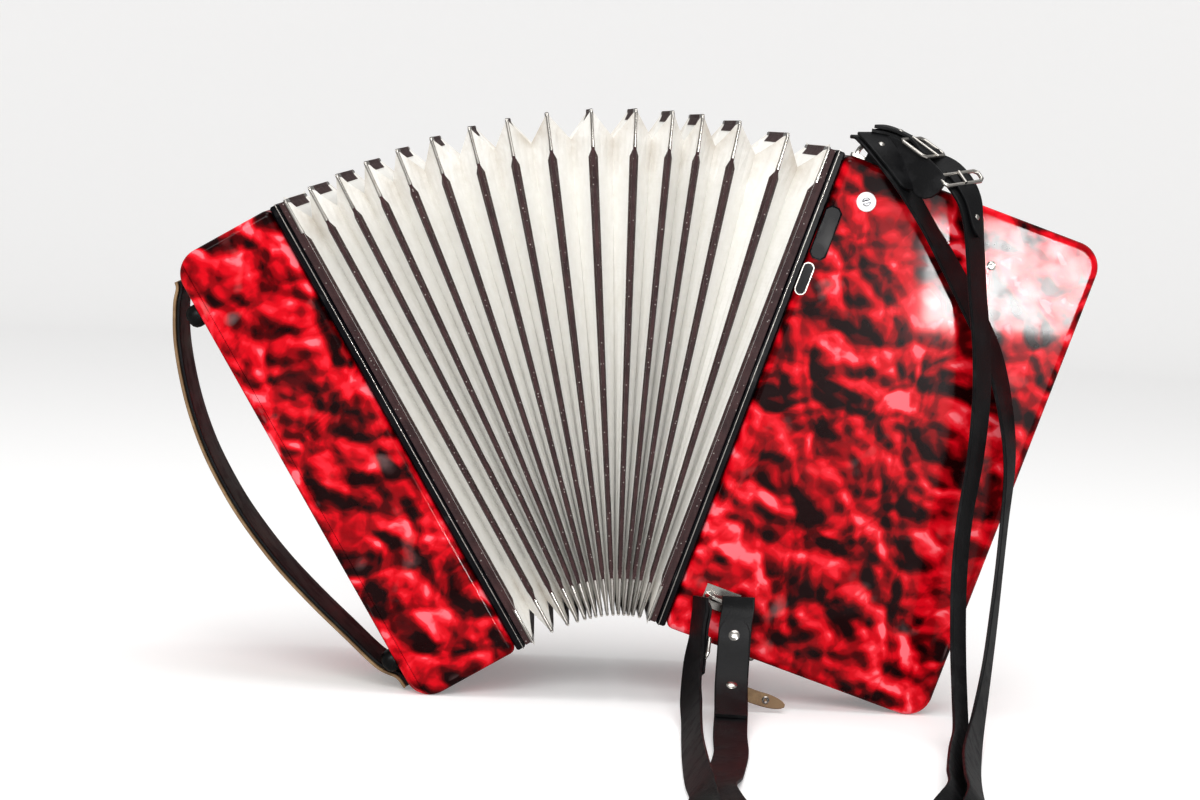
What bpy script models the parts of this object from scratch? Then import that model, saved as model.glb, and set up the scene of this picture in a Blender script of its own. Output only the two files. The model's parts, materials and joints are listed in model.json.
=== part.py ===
"""A small piano accordion that stands on its two lower edges with its bellows fanned open.

Metres, +Z up, X to the right as the player's side is looked at, +Y away from that side.
The left half is the bass side and the right half is the treble side. Each half is modelled
upright in its own frame and leaned over by an empty. In a half's frame, x = 0 is the face
that the bellows meets, y = 0 is the back panel, and z = 0 is the lower end.
"""

import math

import bmesh
import bpy
from mathutils import Euler, Matrix, Vector

MM = 0.001
FIT = 0.3 * MM  # gap between pieces that touch
WELD = 0.01 * MM  # points closer than this are one
ROUND_EDGE = math.radians(40)  # round pieces are shaded smooth up to this angle

# Casings
CASING_HEIGHT = 310 * MM
CASING_DEPTH = 170 * MM
TREBLE_WIDTH = 176.5 * MM
BASS_WIDTH = 75 * MM
CORNER_RADIUS = 16 * MM
EDGE_RADIUS = 3 * MM
WALL = 5 * MM
END_WALL = 10 * MM
FRAME_THICKNESS = 6 * MM
FRAME_LAND = 11 * MM
FRAME_EDGE = 1 * MM

# Stance
TREBLE_LEAN = math.radians(18.1)
BASS_LEAN = math.radians(31.5)
BOTTOM_GAP = 78.7 * MM

# Bellows: shares run from the treble frame, 0, to the bass frame, 1
FOLD_TURNS = (0.076, 0.173, 0.248, 0.306, 0.378, 0.467, 0.555, 0.634, 0.708, 0.785, 0.854, 0.913, 0.96, 0.989)
FOLD_STEPS = (0.08, 0.135, 0.172, 0.209, 0.252, 0.296, 0.343, 0.39, 0.436, 0.481, 0.527, 0.591, 0.676, 0.817)
END_RIDGE = 4.5 * MM
SPREAD_PULL = 25 * MM
CLOSED_PITCH = 3.4 * MM
RIDGE_THICKNESS = 2 * MM
RIDGE_DEPTH = 5 * MM
FOLD_DEPTH = 28 * MM
SKIN_THICKNESS = 0.4 * MM
CREST_HALF = 0.65 * MM
VALLEY_HALF = 0.4 * MM

# Treble side
CHAMBER_WIDTH = 58 * MM
KEY_BED_DEPTH = 48 * MM
KEY_BED_FLOOR = 5 * MM
KEY_CHEEK = 21 * MM
WHITE_KEYS = 13
BLACK_AFTER = (0, 1, 3, 4, 5, 7, 8, 10, 11)
KEY_GAP = 0.8 * MM
KEY_THICKNESS = 11 * MM
KEY_DIP = 4.2 * MM
KEY_CLEARANCE = 1.6 * MM
KEY_OVERHANG = 1.5 * MM
BLACK_KEY_WIDTH = 10 * MM
BLACK_KEY_LENGTH = 42 * MM
BLACK_KEY_RISE = 9 * MM
BLACK_KEY_SLOPE = 5.4 * MM
AXLE_RADIUS = 1.5 * MM
AXLE_INSET = 10 * MM
BORE_CLEARANCE = 0.3 * MM
KEY_TAIL = 7 * MM
KEY_TAIL_GAP = 1 * MM
GRILLE_REACH = 30 * MM
GRILLE_WALL = 2.5 * MM
GRILLE_GAP = 4 * MM
GRILLE_LIFT = 1.5 * MM
GRILLE_STEPS = 10
GRILLE_ROUNDNESS = 0.7
GRILLE_SLOTS = 9
GRILLE_SLOT_WIDTH = 9 * MM

# Bass side
COVER_THICKNESS = 6 * MM
BUTTON_ROWS = 2
BUTTONS_IN_ROW = 4
BUTTON_PITCH = 19 * MM
BUTTON_ROW_PITCH = 17 * MM
BUTTON_EDGE = 20 * MM
BUTTON_RADIUS = 5.5 * MM
BUTTON_HEIGHT = 8 * MM
BUTTON_ROUNDING = 1.5 * MM
BUTTON_TRAVEL = 3.5 * MM
BUTTON_LIFT = 0.5 * MM
STEM_RADIUS = 3 * MM
STEM_LENGTH = 14 * MM
FLANGE_THICKNESS = 1.5 * MM
FLANGE_RADIUS = 4.6 * MM
AIR_BUTTON_RADIUS = 7 * MM
AIR_BUTTON_BELOW_TOP = 60 * MM
AIR_BUTTON_INSET = 40 * MM

# Straps
HAND_STRAP_WIDTH = 58 * MM
HAND_STRAP_THICKNESS = 5 * MM
HAND_STRAP_BULGE = 38 * MM
HAND_STRAP_EDGE = 14 * MM
HAND_STRAP_INSET = 12 * MM
STRAP_WIDTH = 20 * MM
STRAP_THICKNESS = 3 * MM
STRAP_LIFT = 0.5 * MM

# Strap brackets
BRACKET_PLATE = (22 * MM, 14 * MM, 2 * MM)
BRACKET_WIRE = 1.5 * MM
UPPER_BRACKET = (22 * MM, 17 * MM)
UPPER_ARCH = 8 * MM
LOWER_BRACKET = (32 * MM, 28 * MM)
LOWER_ARCH = 9 * MM

# Reed blocks
REED_BLOCK = (26 * MM, 90 * MM, 220 * MM)
BASS_REED_BLOCK = (24 * MM, 90 * MM, 200 * MM)
BASS_REED_ROOM = 8 * MM
REED_CELLS = 6
REED_CELL_FLOOR = 4 * MM
REED_CELL_WALL = 2 * MM

RED_PEARL = (0.42, 0.02, 0.03)
BLACK_GLOSS = (0.012, 0.012, 0.014)
CREAM_CLOTH = (0.80, 0.74, 0.62)
MAROON_TAPE = (0.10, 0.03, 0.035)
CHROME = (0.75, 0.75, 0.77)
BLACK_LEATHER = (0.02, 0.02, 0.022)
IVORY = (0.85, 0.82, 0.74)
SPRUCE = (0.62, 0.45, 0.26)


def clear_scene():
    for obj in list(bpy.data.objects):
        bpy.data.objects.remove(obj, do_unlink=True)


clear_scene()
parts = bpy.data.collections.new("accordion")
cutters = bpy.data.collections.new("cutters")
bpy.context.scene.collection.children.link(parts)
bpy.context.scene.collection.children.link(cutters)


def material(name, colour, roughness, metallic=0.0):
    mat = bpy.data.materials.new(name)
    mat.use_nodes = True
    shader = mat.node_tree.nodes["Principled BSDF"]
    shader.inputs["Base Color"].default_value = (*colour, 1)
    shader.inputs["Roughness"].default_value = roughness
    shader.inputs["Metallic"].default_value = metallic
    return mat


def finish(obj, colour, roughness, metallic=0.0, parent=None):
    """Gives the object its own material, its collection and its parent."""
    obj.data.materials.clear()
    obj.data.materials.append(material(obj.name, colour, roughness, metallic))
    for collection in list(obj.users_collection):
        collection.objects.unlink(obj)
    parts.objects.link(obj)
    obj.parent = parent
    return obj


def as_cutter(obj, parent=None):
    for collection in list(obj.users_collection):
        collection.objects.unlink(obj)
    cutters.objects.link(obj)
    obj.hide_render = True
    obj.display_type = "WIRE"
    obj.parent = parent
    return obj


def mesh_object(name, mesh):
    obj = bpy.data.objects.new(name, mesh)
    bpy.context.scene.collection.objects.link(obj)
    return obj


def from_bmesh(name, bm):
    mesh = bpy.data.meshes.new(name)
    bmesh.ops.recalc_face_normals(bm, faces=bm.faces)
    bm.to_mesh(mesh)
    bm.free()
    return mesh_object(name, mesh)


def box(name, low, high):
    """A box between two corners."""
    bm = bmesh.new()
    low, high = Vector(low), Vector(high)
    size = Matrix.Diagonal((*(high - low), 1))
    bmesh.ops.create_cube(bm, size=1, matrix=Matrix.Translation((low + high) / 2) @ size)
    return from_bmesh(name, bm)


def prism(name, outline, axis, low, high):
    """An outline carried from low to high: drawn in x and z for axis y, in x and y for axis z."""
    turn = Matrix.Rotation(math.pi / 2, 4, "X") if axis == "y" else Matrix.Identity(4)
    middle = (low + high) / (-2 if axis == "y" else 2)
    curve = bpy.data.curves.new(name, "CURVE")
    curve.dimensions = "2D"
    curve.fill_mode = "BOTH"
    curve.extrude = (high - low) / 2
    spline = curve.splines.new("POLY")
    spline.points.add(len(outline) - 1)
    for point, (a, b) in zip(spline.points, outline):
        point.co = (a, b, 0, 1)
    spline.use_cyclic_u = True
    drawn = mesh_object(name, curve)
    graph = bpy.context.evaluated_depsgraph_get()
    mesh = bpy.data.meshes.new_from_object(drawn.evaluated_get(graph))
    bpy.data.objects.remove(drawn, do_unlink=True)
    bm = bmesh.new()
    bm.from_mesh(mesh)
    bpy.data.meshes.remove(mesh)
    bmesh.ops.remove_doubles(bm, verts=bm.verts, dist=WELD)
    bmesh.ops.dissolve_limit(bm, angle_limit=0.001, verts=bm.verts, edges=bm.edges)
    bmesh.ops.transform(bm, matrix=turn @ Matrix.Translation((0, 0, middle)), verts=bm.verts)
    return from_bmesh(name, bm)


def cylinder(name, radius, low, high, axis="z", at=(0, 0), sides=16):
    """A round bar from low to high along z or x, centred at the other two coordinates."""
    bm = bmesh.new()
    bmesh.ops.create_cone(
        bm, cap_ends=True, segments=sides, radius1=radius, radius2=radius, depth=high - low
    )
    lift = Matrix.Translation((0, 0, (low + high) / 2))
    if axis == "z":
        place = Matrix.Translation((at[0], at[1], 0)) @ lift
    else:
        place = Matrix.Translation((0, at[0], at[1])) @ Matrix.Rotation(math.pi / 2, 4, "Y") @ lift
    bmesh.ops.transform(bm, matrix=place, verts=bm.verts)
    obj = from_bmesh(name, bm)
    obj.data.shade_smooth()
    obj.data.set_sharp_from_angle(angle=ROUND_EDGE)
    return obj


def combine(obj, other, operation="DIFFERENCE"):
    """Cuts one object by another, or keeps what both hold."""
    step = obj.modifiers.new(other.name, "BOOLEAN")
    step.operation = operation
    step.object = other
    step.solver = "EXACT"


def soften(obj, width, segments=2, angle=40):
    step = obj.modifiers.new("soft edges", "BEVEL")
    step.width = width
    step.segments = segments
    step.limit_method = "ANGLE"
    step.angle_limit = math.radians(angle)
    step.use_clamp_overlap = True


def applied(obj):
    """The object with its modifiers made part of its mesh."""
    graph = bpy.context.evaluated_depsgraph_get()
    mesh = bpy.data.meshes.new_from_object(obj.evaluated_get(graph))
    obj.modifiers.clear()
    obj.data = mesh
    return obj


def shape_at_once(obj, other, operation="DIFFERENCE"):
    """Cuts, joins or crosses one object with another before either is placed, and drops the other."""
    combine(obj, other, operation)
    applied(obj)
    bpy.data.objects.remove(other, do_unlink=True)


def arc(centre, radius, start, end, steps):
    """Points of an arc, in degrees from the first axis."""
    points = []
    for k in range(steps + 1):
        a = math.radians(start + (end - start) * k / steps)
        points.append((centre[0] + radius * math.cos(a), centre[1] + radius * math.sin(a)))
    return points


def panel_outline(near, far, height, radius, steps=5):
    """The casing's outline in x and z: square at x = near, round-cornered at x = far."""
    side = 1 if far > near else -1
    inner = far - side * radius
    low = arc((inner, radius), radius, 270, 270 + 90 * side, steps)
    high = arc((inner, height - radius), radius, 90 - 90 * side, 90, steps)
    return [(near, 0)] + low + high + [(near, height)]


def lean_axes(lean):
    """The x and z directions, as (X, Z), of a half that leans to the right by an angle."""
    return Vector((math.cos(lean), -math.sin(lean))), Vector((math.sin(lean), math.cos(lean)))


def standing_height(lean, width):
    """How high the lower bellows corner is when the rounded outer corner rests on the ground."""
    across, up = lean_axes(lean)
    side = 1 if lean > 0 else -1
    corner = across * side * (width - CORNER_RADIUS) + up * CORNER_RADIUS
    return CORNER_RADIUS - corner.y


def turning_centre(start, end, turn):
    """The point about which a turn to the right carries one point to another."""
    chord = end - start
    right_of_chord = Vector((chord.y, -chord.x))
    return (start + end) / 2 + right_of_chord / (2 * math.tan(turn / 2))


treble_corner = Vector((0, standing_height(TREBLE_LEAN, TREBLE_WIDTH)))
bass_corner = Vector((-BOTTOM_GAP, standing_height(-BASS_LEAN, BASS_WIDTH)))
treble_across, treble_up = lean_axes(TREBLE_LEAN)
bass_across, bass_up = lean_axes(-BASS_LEAN)


def spread_curve(samples=200):
    """The line on which the lower ends of the folds stand, from the treble frame to the bass frame."""
    start = treble_corner - treble_across * END_RIDGE
    end = bass_corner + bass_across * END_RIDGE
    pull_start = start - treble_across * SPREAD_PULL
    pull_end = end + bass_across * SPREAD_PULL
    points = []
    for k in range(samples + 1):
        s = k / samples
        t = 1 - s
        points.append(start * t**3 + pull_start * 3 * s * t**2 + pull_end * 3 * s**2 * t + end * s**3)
    return points


def along(points, share):
    """The point at a share of a line's length."""
    lengths = [0.0]
    for a, b in zip(points, points[1:]):
        lengths.append(lengths[-1] + (b - a).length)
    target = share * lengths[-1]
    for k in range(1, len(lengths)):
        if lengths[k] >= target:
            part = (target - lengths[k - 1]) / (lengths[k] - lengths[k - 1])
            return points[k - 1].lerp(points[k], part)
    return points[-1].copy()


curve_points = spread_curve()
fan_angle = TREBLE_LEAN + BASS_LEAN
fold_turns = (0.0,) + FOLD_TURNS + (1.0,)
fold_steps = (0.0,) + FOLD_STEPS + (1.0,)
ridge_leans = [TREBLE_LEAN - share * fan_angle for share in fold_turns]
ridge_feet = [along(curve_points, share) for share in fold_steps]
ridge_feet[-1] = curve_points[-1].copy()
fold_count = len(fold_turns) - 1


def closed_foot(index):
    """Where a ridge's lower end is, in the treble half's lean, with the bellows shut."""
    return treble_corner - treble_across * (END_RIDGE + index * CLOSED_PITCH)


ridge_pivots = [None]
for index in range(1, fold_count + 1):
    turn = TREBLE_LEAN - ridge_leans[index]
    ridge_pivots.append(turning_centre(ridge_feet[index], closed_foot(index), turn))


def empty(name, place, lean=0.0):
    holder = bpy.data.objects.new(name, None)
    holder.location = place
    holder.rotation_euler = Euler((0, lean, 0))
    parts.objects.link(holder)
    return holder


ground = empty("ground", (0, 0, 0))
treble = empty("treble_half", (treble_corner.x, 0, treble_corner.y), TREBLE_LEAN)
bass = empty("bass_half", (bass_corner.x, 0, bass_corner.y), -BASS_LEAN)
treble.parent = ground
bass.parent = ground

pivots = {}


def note_pivot(name, holder, place, direction):
    """Keeps a joint's place and axis, given in a half's frame, for the list at the end."""
    pivots[name] = (holder, Vector(place), Vector(direction))


# Casing of the treble side
def treble_casing():
    face = FRAME_THICKNESS + FIT
    key_top = KEY_BED_DEPTH + KEY_CLEARANCE + KEY_DIP + KEY_THICKNESS
    body = prism(
        "treble_casing",
        panel_outline(face, TREBLE_WIDTH, CASING_HEIGHT, CORNER_RADIUS),
        "y",
        0,
        CASING_DEPTH,
    )
    side = [
        (face - WALL, -WALL),
        (TREBLE_WIDTH + WALL, -WALL),
        (TREBLE_WIDTH + WALL, key_top),
        (CHAMBER_WIDTH, key_top),
        (CHAMBER_WIDTH, CASING_DEPTH + WALL),
        (face - WALL, CASING_DEPTH + WALL),
    ]
    shape_at_once(body, prism("treble_side", side, "z", -WALL, CASING_HEIGHT + WALL), "INTERSECT")
    soften(body, EDGE_RADIUS)
    hollow = [
        (face - WALL, WALL),
        (TREBLE_WIDTH - WALL, WALL),
        (TREBLE_WIDTH - WALL, KEY_BED_DEPTH - KEY_BED_FLOOR),
        (CHAMBER_WIDTH - WALL, KEY_BED_DEPTH - KEY_BED_FLOOR),
        (CHAMBER_WIDTH - WALL, CASING_DEPTH - WALL),
        (face - WALL, CASING_DEPTH - WALL),
    ]
    combine(body, as_cutter(prism("treble_hollow", hollow, "z", END_WALL, CASING_HEIGHT - END_WALL), treble))
    pocket = box(
        "key_pocket",
        (CHAMBER_WIDTH, KEY_BED_DEPTH, KEY_CHEEK),
        (TREBLE_WIDTH + WALL, key_top + WALL, CASING_HEIGHT - KEY_CHEEK),
    )
    combine(body, as_cutter(pocket, treble))
    axle = cylinder(
        "axle_hole",
        AXLE_RADIUS + BORE_CLEARANCE,
        KEY_CHEEK - AXLE_INSET,
        CASING_HEIGHT - KEY_CHEEK + AXLE_INSET,
        at=axle_centre(),
        sides=12,
    )
    combine(body, as_cutter(axle, treble))
    return finish(body, RED_PEARL, 0.15, parent=treble)


def axle_centre():
    """The key axle's x and y in the treble half's frame."""
    across = CHAMBER_WIDTH + KEY_TAIL + AXLE_RADIUS + BORE_CLEARANCE
    return across, KEY_BED_DEPTH + KEY_CLEARANCE + KEY_DIP + KEY_THICKNESS / 2


def key_axle():
    low = KEY_CHEEK - AXLE_INSET + FIT
    axle = cylinder("key_axle", AXLE_RADIUS, low, CASING_HEIGHT - low, at=axle_centre(), sides=12)
    return finish(axle, CHROME, 0.3, 1.0, treble)


key_pitch = (CASING_HEIGHT - 2 * KEY_CHEEK - KEY_GAP) / WHITE_KEYS


def bored(key, low, high):
    hole = cylinder(
        "bore_" + key.name, AXLE_RADIUS + BORE_CLEARANCE, low - WALL, high + WALL, at=axle_centre(), sides=12
    )
    shape_at_once(key, hole)


def hang_key(key, name, middle):
    """Puts a key's origin on the axle, and keeps its hinge."""
    across, depth = axle_centre()
    key.data.transform(Matrix.Translation((-across, -depth, -middle)))
    key.location = (across, depth, middle)
    note_pivot(name, treble, (across, depth, middle), (0, 0, -1))


def white_key(index):
    """A white key: full width in front, narrower beside its black neighbours."""
    name = f"white_key_{index + 1:02d}"
    low = KEY_CHEEK + KEY_GAP + index * key_pitch
    high = low + key_pitch - KEY_GAP
    half_black = (BLACK_KEY_WIDTH + KEY_GAP) / 2
    low_cut = half_black if index - 1 in BLACK_AFTER else 0
    high_cut = half_black if index in BLACK_AFTER else 0
    tail = CHAMBER_WIDTH + KEY_TAIL_GAP
    shoulder = black_front() + KEY_GAP
    front = TREBLE_WIDTH + KEY_OVERHANG
    outline = [(tail, low + low_cut), (shoulder, low + low_cut)]
    if low_cut:
        outline += [(shoulder, low)]
    outline += [(front, low), (front, high)]
    if high_cut:
        outline += [(shoulder, high)]
    outline += [(shoulder, high - high_cut), (tail, high - high_cut)]
    bottom = KEY_BED_DEPTH + KEY_CLEARANCE + KEY_DIP
    key = prism(name, outline, "y", bottom, bottom + KEY_THICKNESS)
    soften(key, KEY_GAP / 2, 1, 60)
    bored(key, low, high)
    hang_key(key, name, (low + high) / 2)
    return finish(key, IVORY, 0.25, parent=treble)


def black_front():
    return grille_foot() + GRILLE_GAP + BLACK_KEY_LENGTH


def black_key(count, index):
    """A black key: raised in front of the grille, level with the white keys under it."""
    name = f"black_key_{count + 1:02d}"
    centre = KEY_CHEEK + KEY_GAP / 2 + (index + 1) * key_pitch
    bottom = KEY_BED_DEPTH + KEY_CLEARANCE + KEY_DIP
    top = bottom + KEY_THICKNESS
    start = grille_foot() + GRILLE_GAP
    front = black_front()
    outline = [
        (CHAMBER_WIDTH + KEY_TAIL_GAP, bottom),
        (front, bottom),
        (front, top),
        (front - BLACK_KEY_SLOPE, top + BLACK_KEY_RISE),
        (start, top + BLACK_KEY_RISE),
        (start, top),
        (CHAMBER_WIDTH + KEY_TAIL_GAP, top),
    ]
    half = (BLACK_KEY_WIDTH - KEY_GAP) / 2
    key = prism(name, outline, "z", centre - half, centre + half)
    soften(key, KEY_GAP, 1, 50)
    bored(key, centre - half, centre + half)
    hang_key(key, name, centre)
    return finish(key, BLACK_GLOSS, 0.2, parent=treble)


# Grille over the valves
def grille_foot():
    """The x at which the grille comes down beside the keys."""
    return CHAMBER_WIDTH + GRILLE_REACH


def grille_profile(inset):
    """The grille's section in x and y: flat before the chamber, then a quarter ellipse down to the keys."""
    key_top = KEY_BED_DEPTH + KEY_CLEARANCE + KEY_DIP + KEY_THICKNESS
    low = key_top + GRILLE_LIFT
    near = CHAMBER_WIDTH + FIT
    far = grille_foot() - inset
    high = CASING_DEPTH - inset
    points = [(near, low)]
    for k in range(GRILLE_STEPS + 1):
        a = math.pi / 2 * k / GRILLE_STEPS
        across, rise = math.cos(a) ** GRILLE_ROUNDNESS, math.sin(a) ** GRILLE_ROUNDNESS
        points.append((near + (far - near) * across, low + (high - low) * rise))
    return points, near, low


def treble_grille():
    outline, near, low = grille_profile(0)
    body = prism("treble_grille", outline, "z", 0, CASING_HEIGHT)
    inner, near, low = grille_profile(GRILLE_WALL)
    inner = [(near - WALL, low - WALL)] + [(x, y) for x, y in inner[1:]] + [(near - WALL, inner[-1][1])]
    inner[1] = (inner[1][0], low - WALL)
    hollow = prism("grille_hollow", inner, "z", GRILLE_WALL, CASING_HEIGHT - GRILLE_WALL)
    combine(body, as_cutter(hollow, treble))
    pitch = (CASING_HEIGHT - 2 * KEY_CHEEK) / GRILLE_SLOTS
    middle = (low + CASING_DEPTH) / 2
    reach = (CASING_DEPTH - low) / 4
    for k in range(GRILLE_SLOTS):
        centre = KEY_CHEEK + (k + 0.5) * pitch
        slot = box(
            f"grille_slot_{k + 1}",
            (near + WALL, middle - reach, centre - GRILLE_SLOT_WIDTH / 2),
            (grille_foot() + WALL, middle + reach, centre + GRILLE_SLOT_WIDTH / 2),
        )
        combine(body, as_cutter(slot, treble))
    return finish(body, RED_PEARL, 0.15, parent=treble)


# Frames that hold the bellows
def bellows_frame(name, holder, side):
    """A square ring on the casing's open face."""
    low, high = (0, FRAME_THICKNESS) if side > 0 else (-FRAME_THICKNESS, 0)
    ring = box(name, (low, 0, 0), (high, CASING_DEPTH, CASING_HEIGHT))
    soften(ring, FRAME_EDGE, 1)
    opening = box(
        name + "_opening",
        (low - WALL, FRAME_LAND, FRAME_LAND),
        (high + WALL, CASING_DEPTH - FRAME_LAND, CASING_HEIGHT - FRAME_LAND),
    )
    combine(ring, as_cutter(opening, holder))
    return finish(ring, BLACK_GLOSS, 0.12, parent=holder)


# Reed blocks stand on the walls behind them
def reed_block(name, size, face, holder, side):
    """A wooden block with its cells open towards the bellows."""
    near, far = sorted((face, face - side * size[0]))
    middle = CASING_DEPTH / 2
    low_y, high_y = middle - size[1] / 2, middle + size[1] / 2
    low_z, high_z = CASING_HEIGHT / 2 - size[2] / 2, CASING_HEIGHT / 2 + size[2] / 2
    block = box(name, (near, low_y, low_z), (far, high_y, high_z))
    pitch = size[2] / REED_CELLS
    for k in range(REED_CELLS):
        centre = low_z + (k + 0.5) * pitch
        cut_near, cut_far = sorted((face - side * (size[0] + WALL), face - side * REED_CELL_FLOOR))
        cell = box(
            f"{name}_cell_{k + 1}",
            (cut_near, low_y + WALL, centre - pitch / 2 + REED_CELL_WALL),
            (cut_far, high_y - WALL, centre + pitch / 2 - REED_CELL_WALL),
        )
        combine(block, as_cutter(cell, holder))
    return finish(block, SPRUCE, 0.6, parent=holder)


# Casing of the bass side
def bass_casing():
    near = -(FRAME_THICKNESS + FIT)
    far = -(BASS_WIDTH - COVER_THICKNESS - FIT)
    body = prism(
        "bass_casing",
        panel_outline(near, -BASS_WIDTH, CASING_HEIGHT, CORNER_RADIUS),
        "y",
        0,
        CASING_DEPTH,
    )
    soften(body, EDGE_RADIUS)
    beyond = box(
        "beyond_bass_casing",
        (-BASS_WIDTH - WALL, -WALL, -WALL),
        (far, CASING_DEPTH + WALL, CASING_HEIGHT + WALL),
    )
    combine(body, as_cutter(beyond, bass))
    chamber = box(
        "bass_chamber",
        (bass_wall(), WALL, END_WALL),
        (near + WALL, CASING_DEPTH - WALL, CASING_HEIGHT - END_WALL),
    )
    combine(body, as_cutter(chamber, bass))
    machine = box(
        "bass_machine_room",
        (far - WALL, WALL, END_WALL),
        (bass_wall() - WALL, CASING_DEPTH - WALL, CASING_HEIGHT - END_WALL),
    )
    combine(body, as_cutter(machine, bass))
    return finish(body, RED_PEARL, 0.15, parent=bass)


def bass_wall():
    """The x of the reed side of the wall between the bass reeds and the button machine."""
    return -(FRAME_THICKNESS + FIT) - BASS_REED_BLOCK[0] - BASS_REED_ROOM


def button_places():
    """The bass buttons' y and z, in rows along the front edge of the end cover."""
    places = []
    for row in range(BUTTON_ROWS):
        for k in range(BUTTONS_IN_ROW):
            depth = CASING_DEPTH - BUTTON_EDGE - row * BUTTON_ROW_PITCH
            step = k - (BUTTONS_IN_ROW - 1) / 2 + row / 4
            height = CASING_HEIGHT / 2 + step * BUTTON_PITCH
            places.append((depth, height))
    return places


def air_place():
    return CASING_DEPTH - AIR_BUTTON_INSET, CASING_HEIGHT - AIR_BUTTON_BELOW_TOP


def bass_end_cover():
    far = -(BASS_WIDTH - COVER_THICKNESS)
    body = prism(
        "bass_end_cover",
        panel_outline(-(FRAME_THICKNESS + FIT), -BASS_WIDTH, CASING_HEIGHT, CORNER_RADIUS),
        "y",
        0,
        CASING_DEPTH,
    )
    soften(body, EDGE_RADIUS)
    inner = box(
        "beyond_bass_cover",
        (far, -WALL, -WALL),
        (WALL, CASING_DEPTH + WALL, CASING_HEIGHT + WALL),
    )
    combine(body, as_cutter(inner, bass))
    for k, place in enumerate(button_places() + [air_place()]):
        hole = cylinder(
            f"button_hole_{k + 1}",
            STEM_RADIUS + BORE_CLEARANCE,
            -BASS_WIDTH - WALL,
            far + WALL,
            axis="x",
            at=place,
            sides=12,
        )
        combine(body, as_cutter(hole, bass))
    return finish(body, RED_PEARL, 0.15, parent=bass)


def push_button(name, place, radius, colour):
    """A mushroom button: cap outside, stem through the cover, flange that stops it inside."""
    outer = -BASS_WIDTH - BUTTON_TRAVEL - BUTTON_LIFT
    inner = -(BASS_WIDTH - COVER_THICKNESS) + FIT
    profile = [
        (0, outer - BUTTON_HEIGHT),
        (radius - BUTTON_ROUNDING, outer - BUTTON_HEIGHT),
        (radius, outer - BUTTON_HEIGHT + BUTTON_ROUNDING),
        (radius, outer),
        (STEM_RADIUS, outer),
        (STEM_RADIUS, inner),
        (FLANGE_RADIUS, inner),
        (FLANGE_RADIUS, inner + FLANGE_THICKNESS),
        (STEM_RADIUS, inner + FLANGE_THICKNESS),
        (STEM_RADIUS, inner + STEM_LENGTH),
        (0, inner + STEM_LENGTH),
    ]
    bm = bmesh.new()
    line = [bm.verts.new((out - outer, r, 0)) for r, out in profile]
    edges = [bm.edges.new(pair) for pair in zip(line, line[1:])]
    bmesh.ops.spin(
        bm, geom=line + edges, cent=(0, 0, 0), axis=(1, 0, 0), angle=2 * math.pi, steps=12, use_merge=True
    )
    bmesh.ops.remove_doubles(bm, verts=bm.verts, dist=WELD)
    button = from_bmesh(name, bm)
    button.data.shade_smooth()
    button.data.set_sharp_from_angle(angle=ROUND_EDGE)
    button.location = (outer, *place)
    note_pivot(name, bass, (outer, *place), (1, 0, 0))
    return finish(button, colour, 0.25, parent=bass)


# Straps
def ribbon(name, centres, across, thickness, colour, holder=None):
    """A flat strap: a strip whose middle runs through the centres, as wide as the across vectors."""
    bm = bmesh.new()
    columns = []
    for centre, side in zip(centres, across):
        columns.append([bm.verts.new(centre - side / 2), bm.verts.new(centre + side / 2)])
    for a, b in zip(columns, columns[1:]):
        bm.faces.new((a[0], b[0], b[1], a[1]))
    strap = from_bmesh(name, bm)
    step = strap.modifiers.new("thickness", "SOLIDIFY")
    step.thickness = thickness
    step.offset = 0
    step.use_even_offset = True
    return finish(strap, colour, 0.55, parent=holder)


def smooth_path(points, steps):
    """A curve that passes through the points, with even shares between them."""
    padded = [points[0] * 2 - points[1]] + points + [points[-1] * 2 - points[-2]]
    path = []
    for k in range(1, len(padded) - 2):
        a, b, c, d = padded[k - 1 : k + 3]
        for s in range(steps):
            t = s / steps
            bend = a * 2 - b * 5 + c * 4 - d
            twist = b * 3 - a - c * 3 + d
            path.append((b * 2 + (c - a) * t + bend * t**2 + twist * t**3) / 2)
    path.append(points[-1].copy())
    return path


def hand_strap():
    """The strap that holds the player's left hand to the bass end."""
    low, high = HAND_STRAP_INSET, CASING_HEIGHT - HAND_STRAP_INSET
    face = -BASS_WIDTH - FIT - HAND_STRAP_THICKNESS / 2
    middle_y = HAND_STRAP_EDGE + HAND_STRAP_WIDTH / 2
    shape = ((0, 0), (0.03, 0.04), (0.07, 0.24), (0.16, 0.45), (0.26, 0.67), (0.36, 0.85), (0.46, 0.96))
    shape += ((0.55, 1), (0.66, 0.96), (0.77, 0.8), (0.88, 0.52), (0.955, 0.22), (0.985, 0.04), (1, 0))
    points = [Vector((face - HAND_STRAP_BULGE * out, middle_y, low + (high - low) * up)) for up, out in shape]
    path = smooth_path(points, 3)
    path = [Vector((min(p.x, face), p.y, p.z)) for p in path]
    side = Vector((0, HAND_STRAP_WIDTH, 0))
    return ribbon("hand_strap", path, [side] * len(path), HAND_STRAP_THICKNESS, BLACK_LEATHER, bass)


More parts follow.
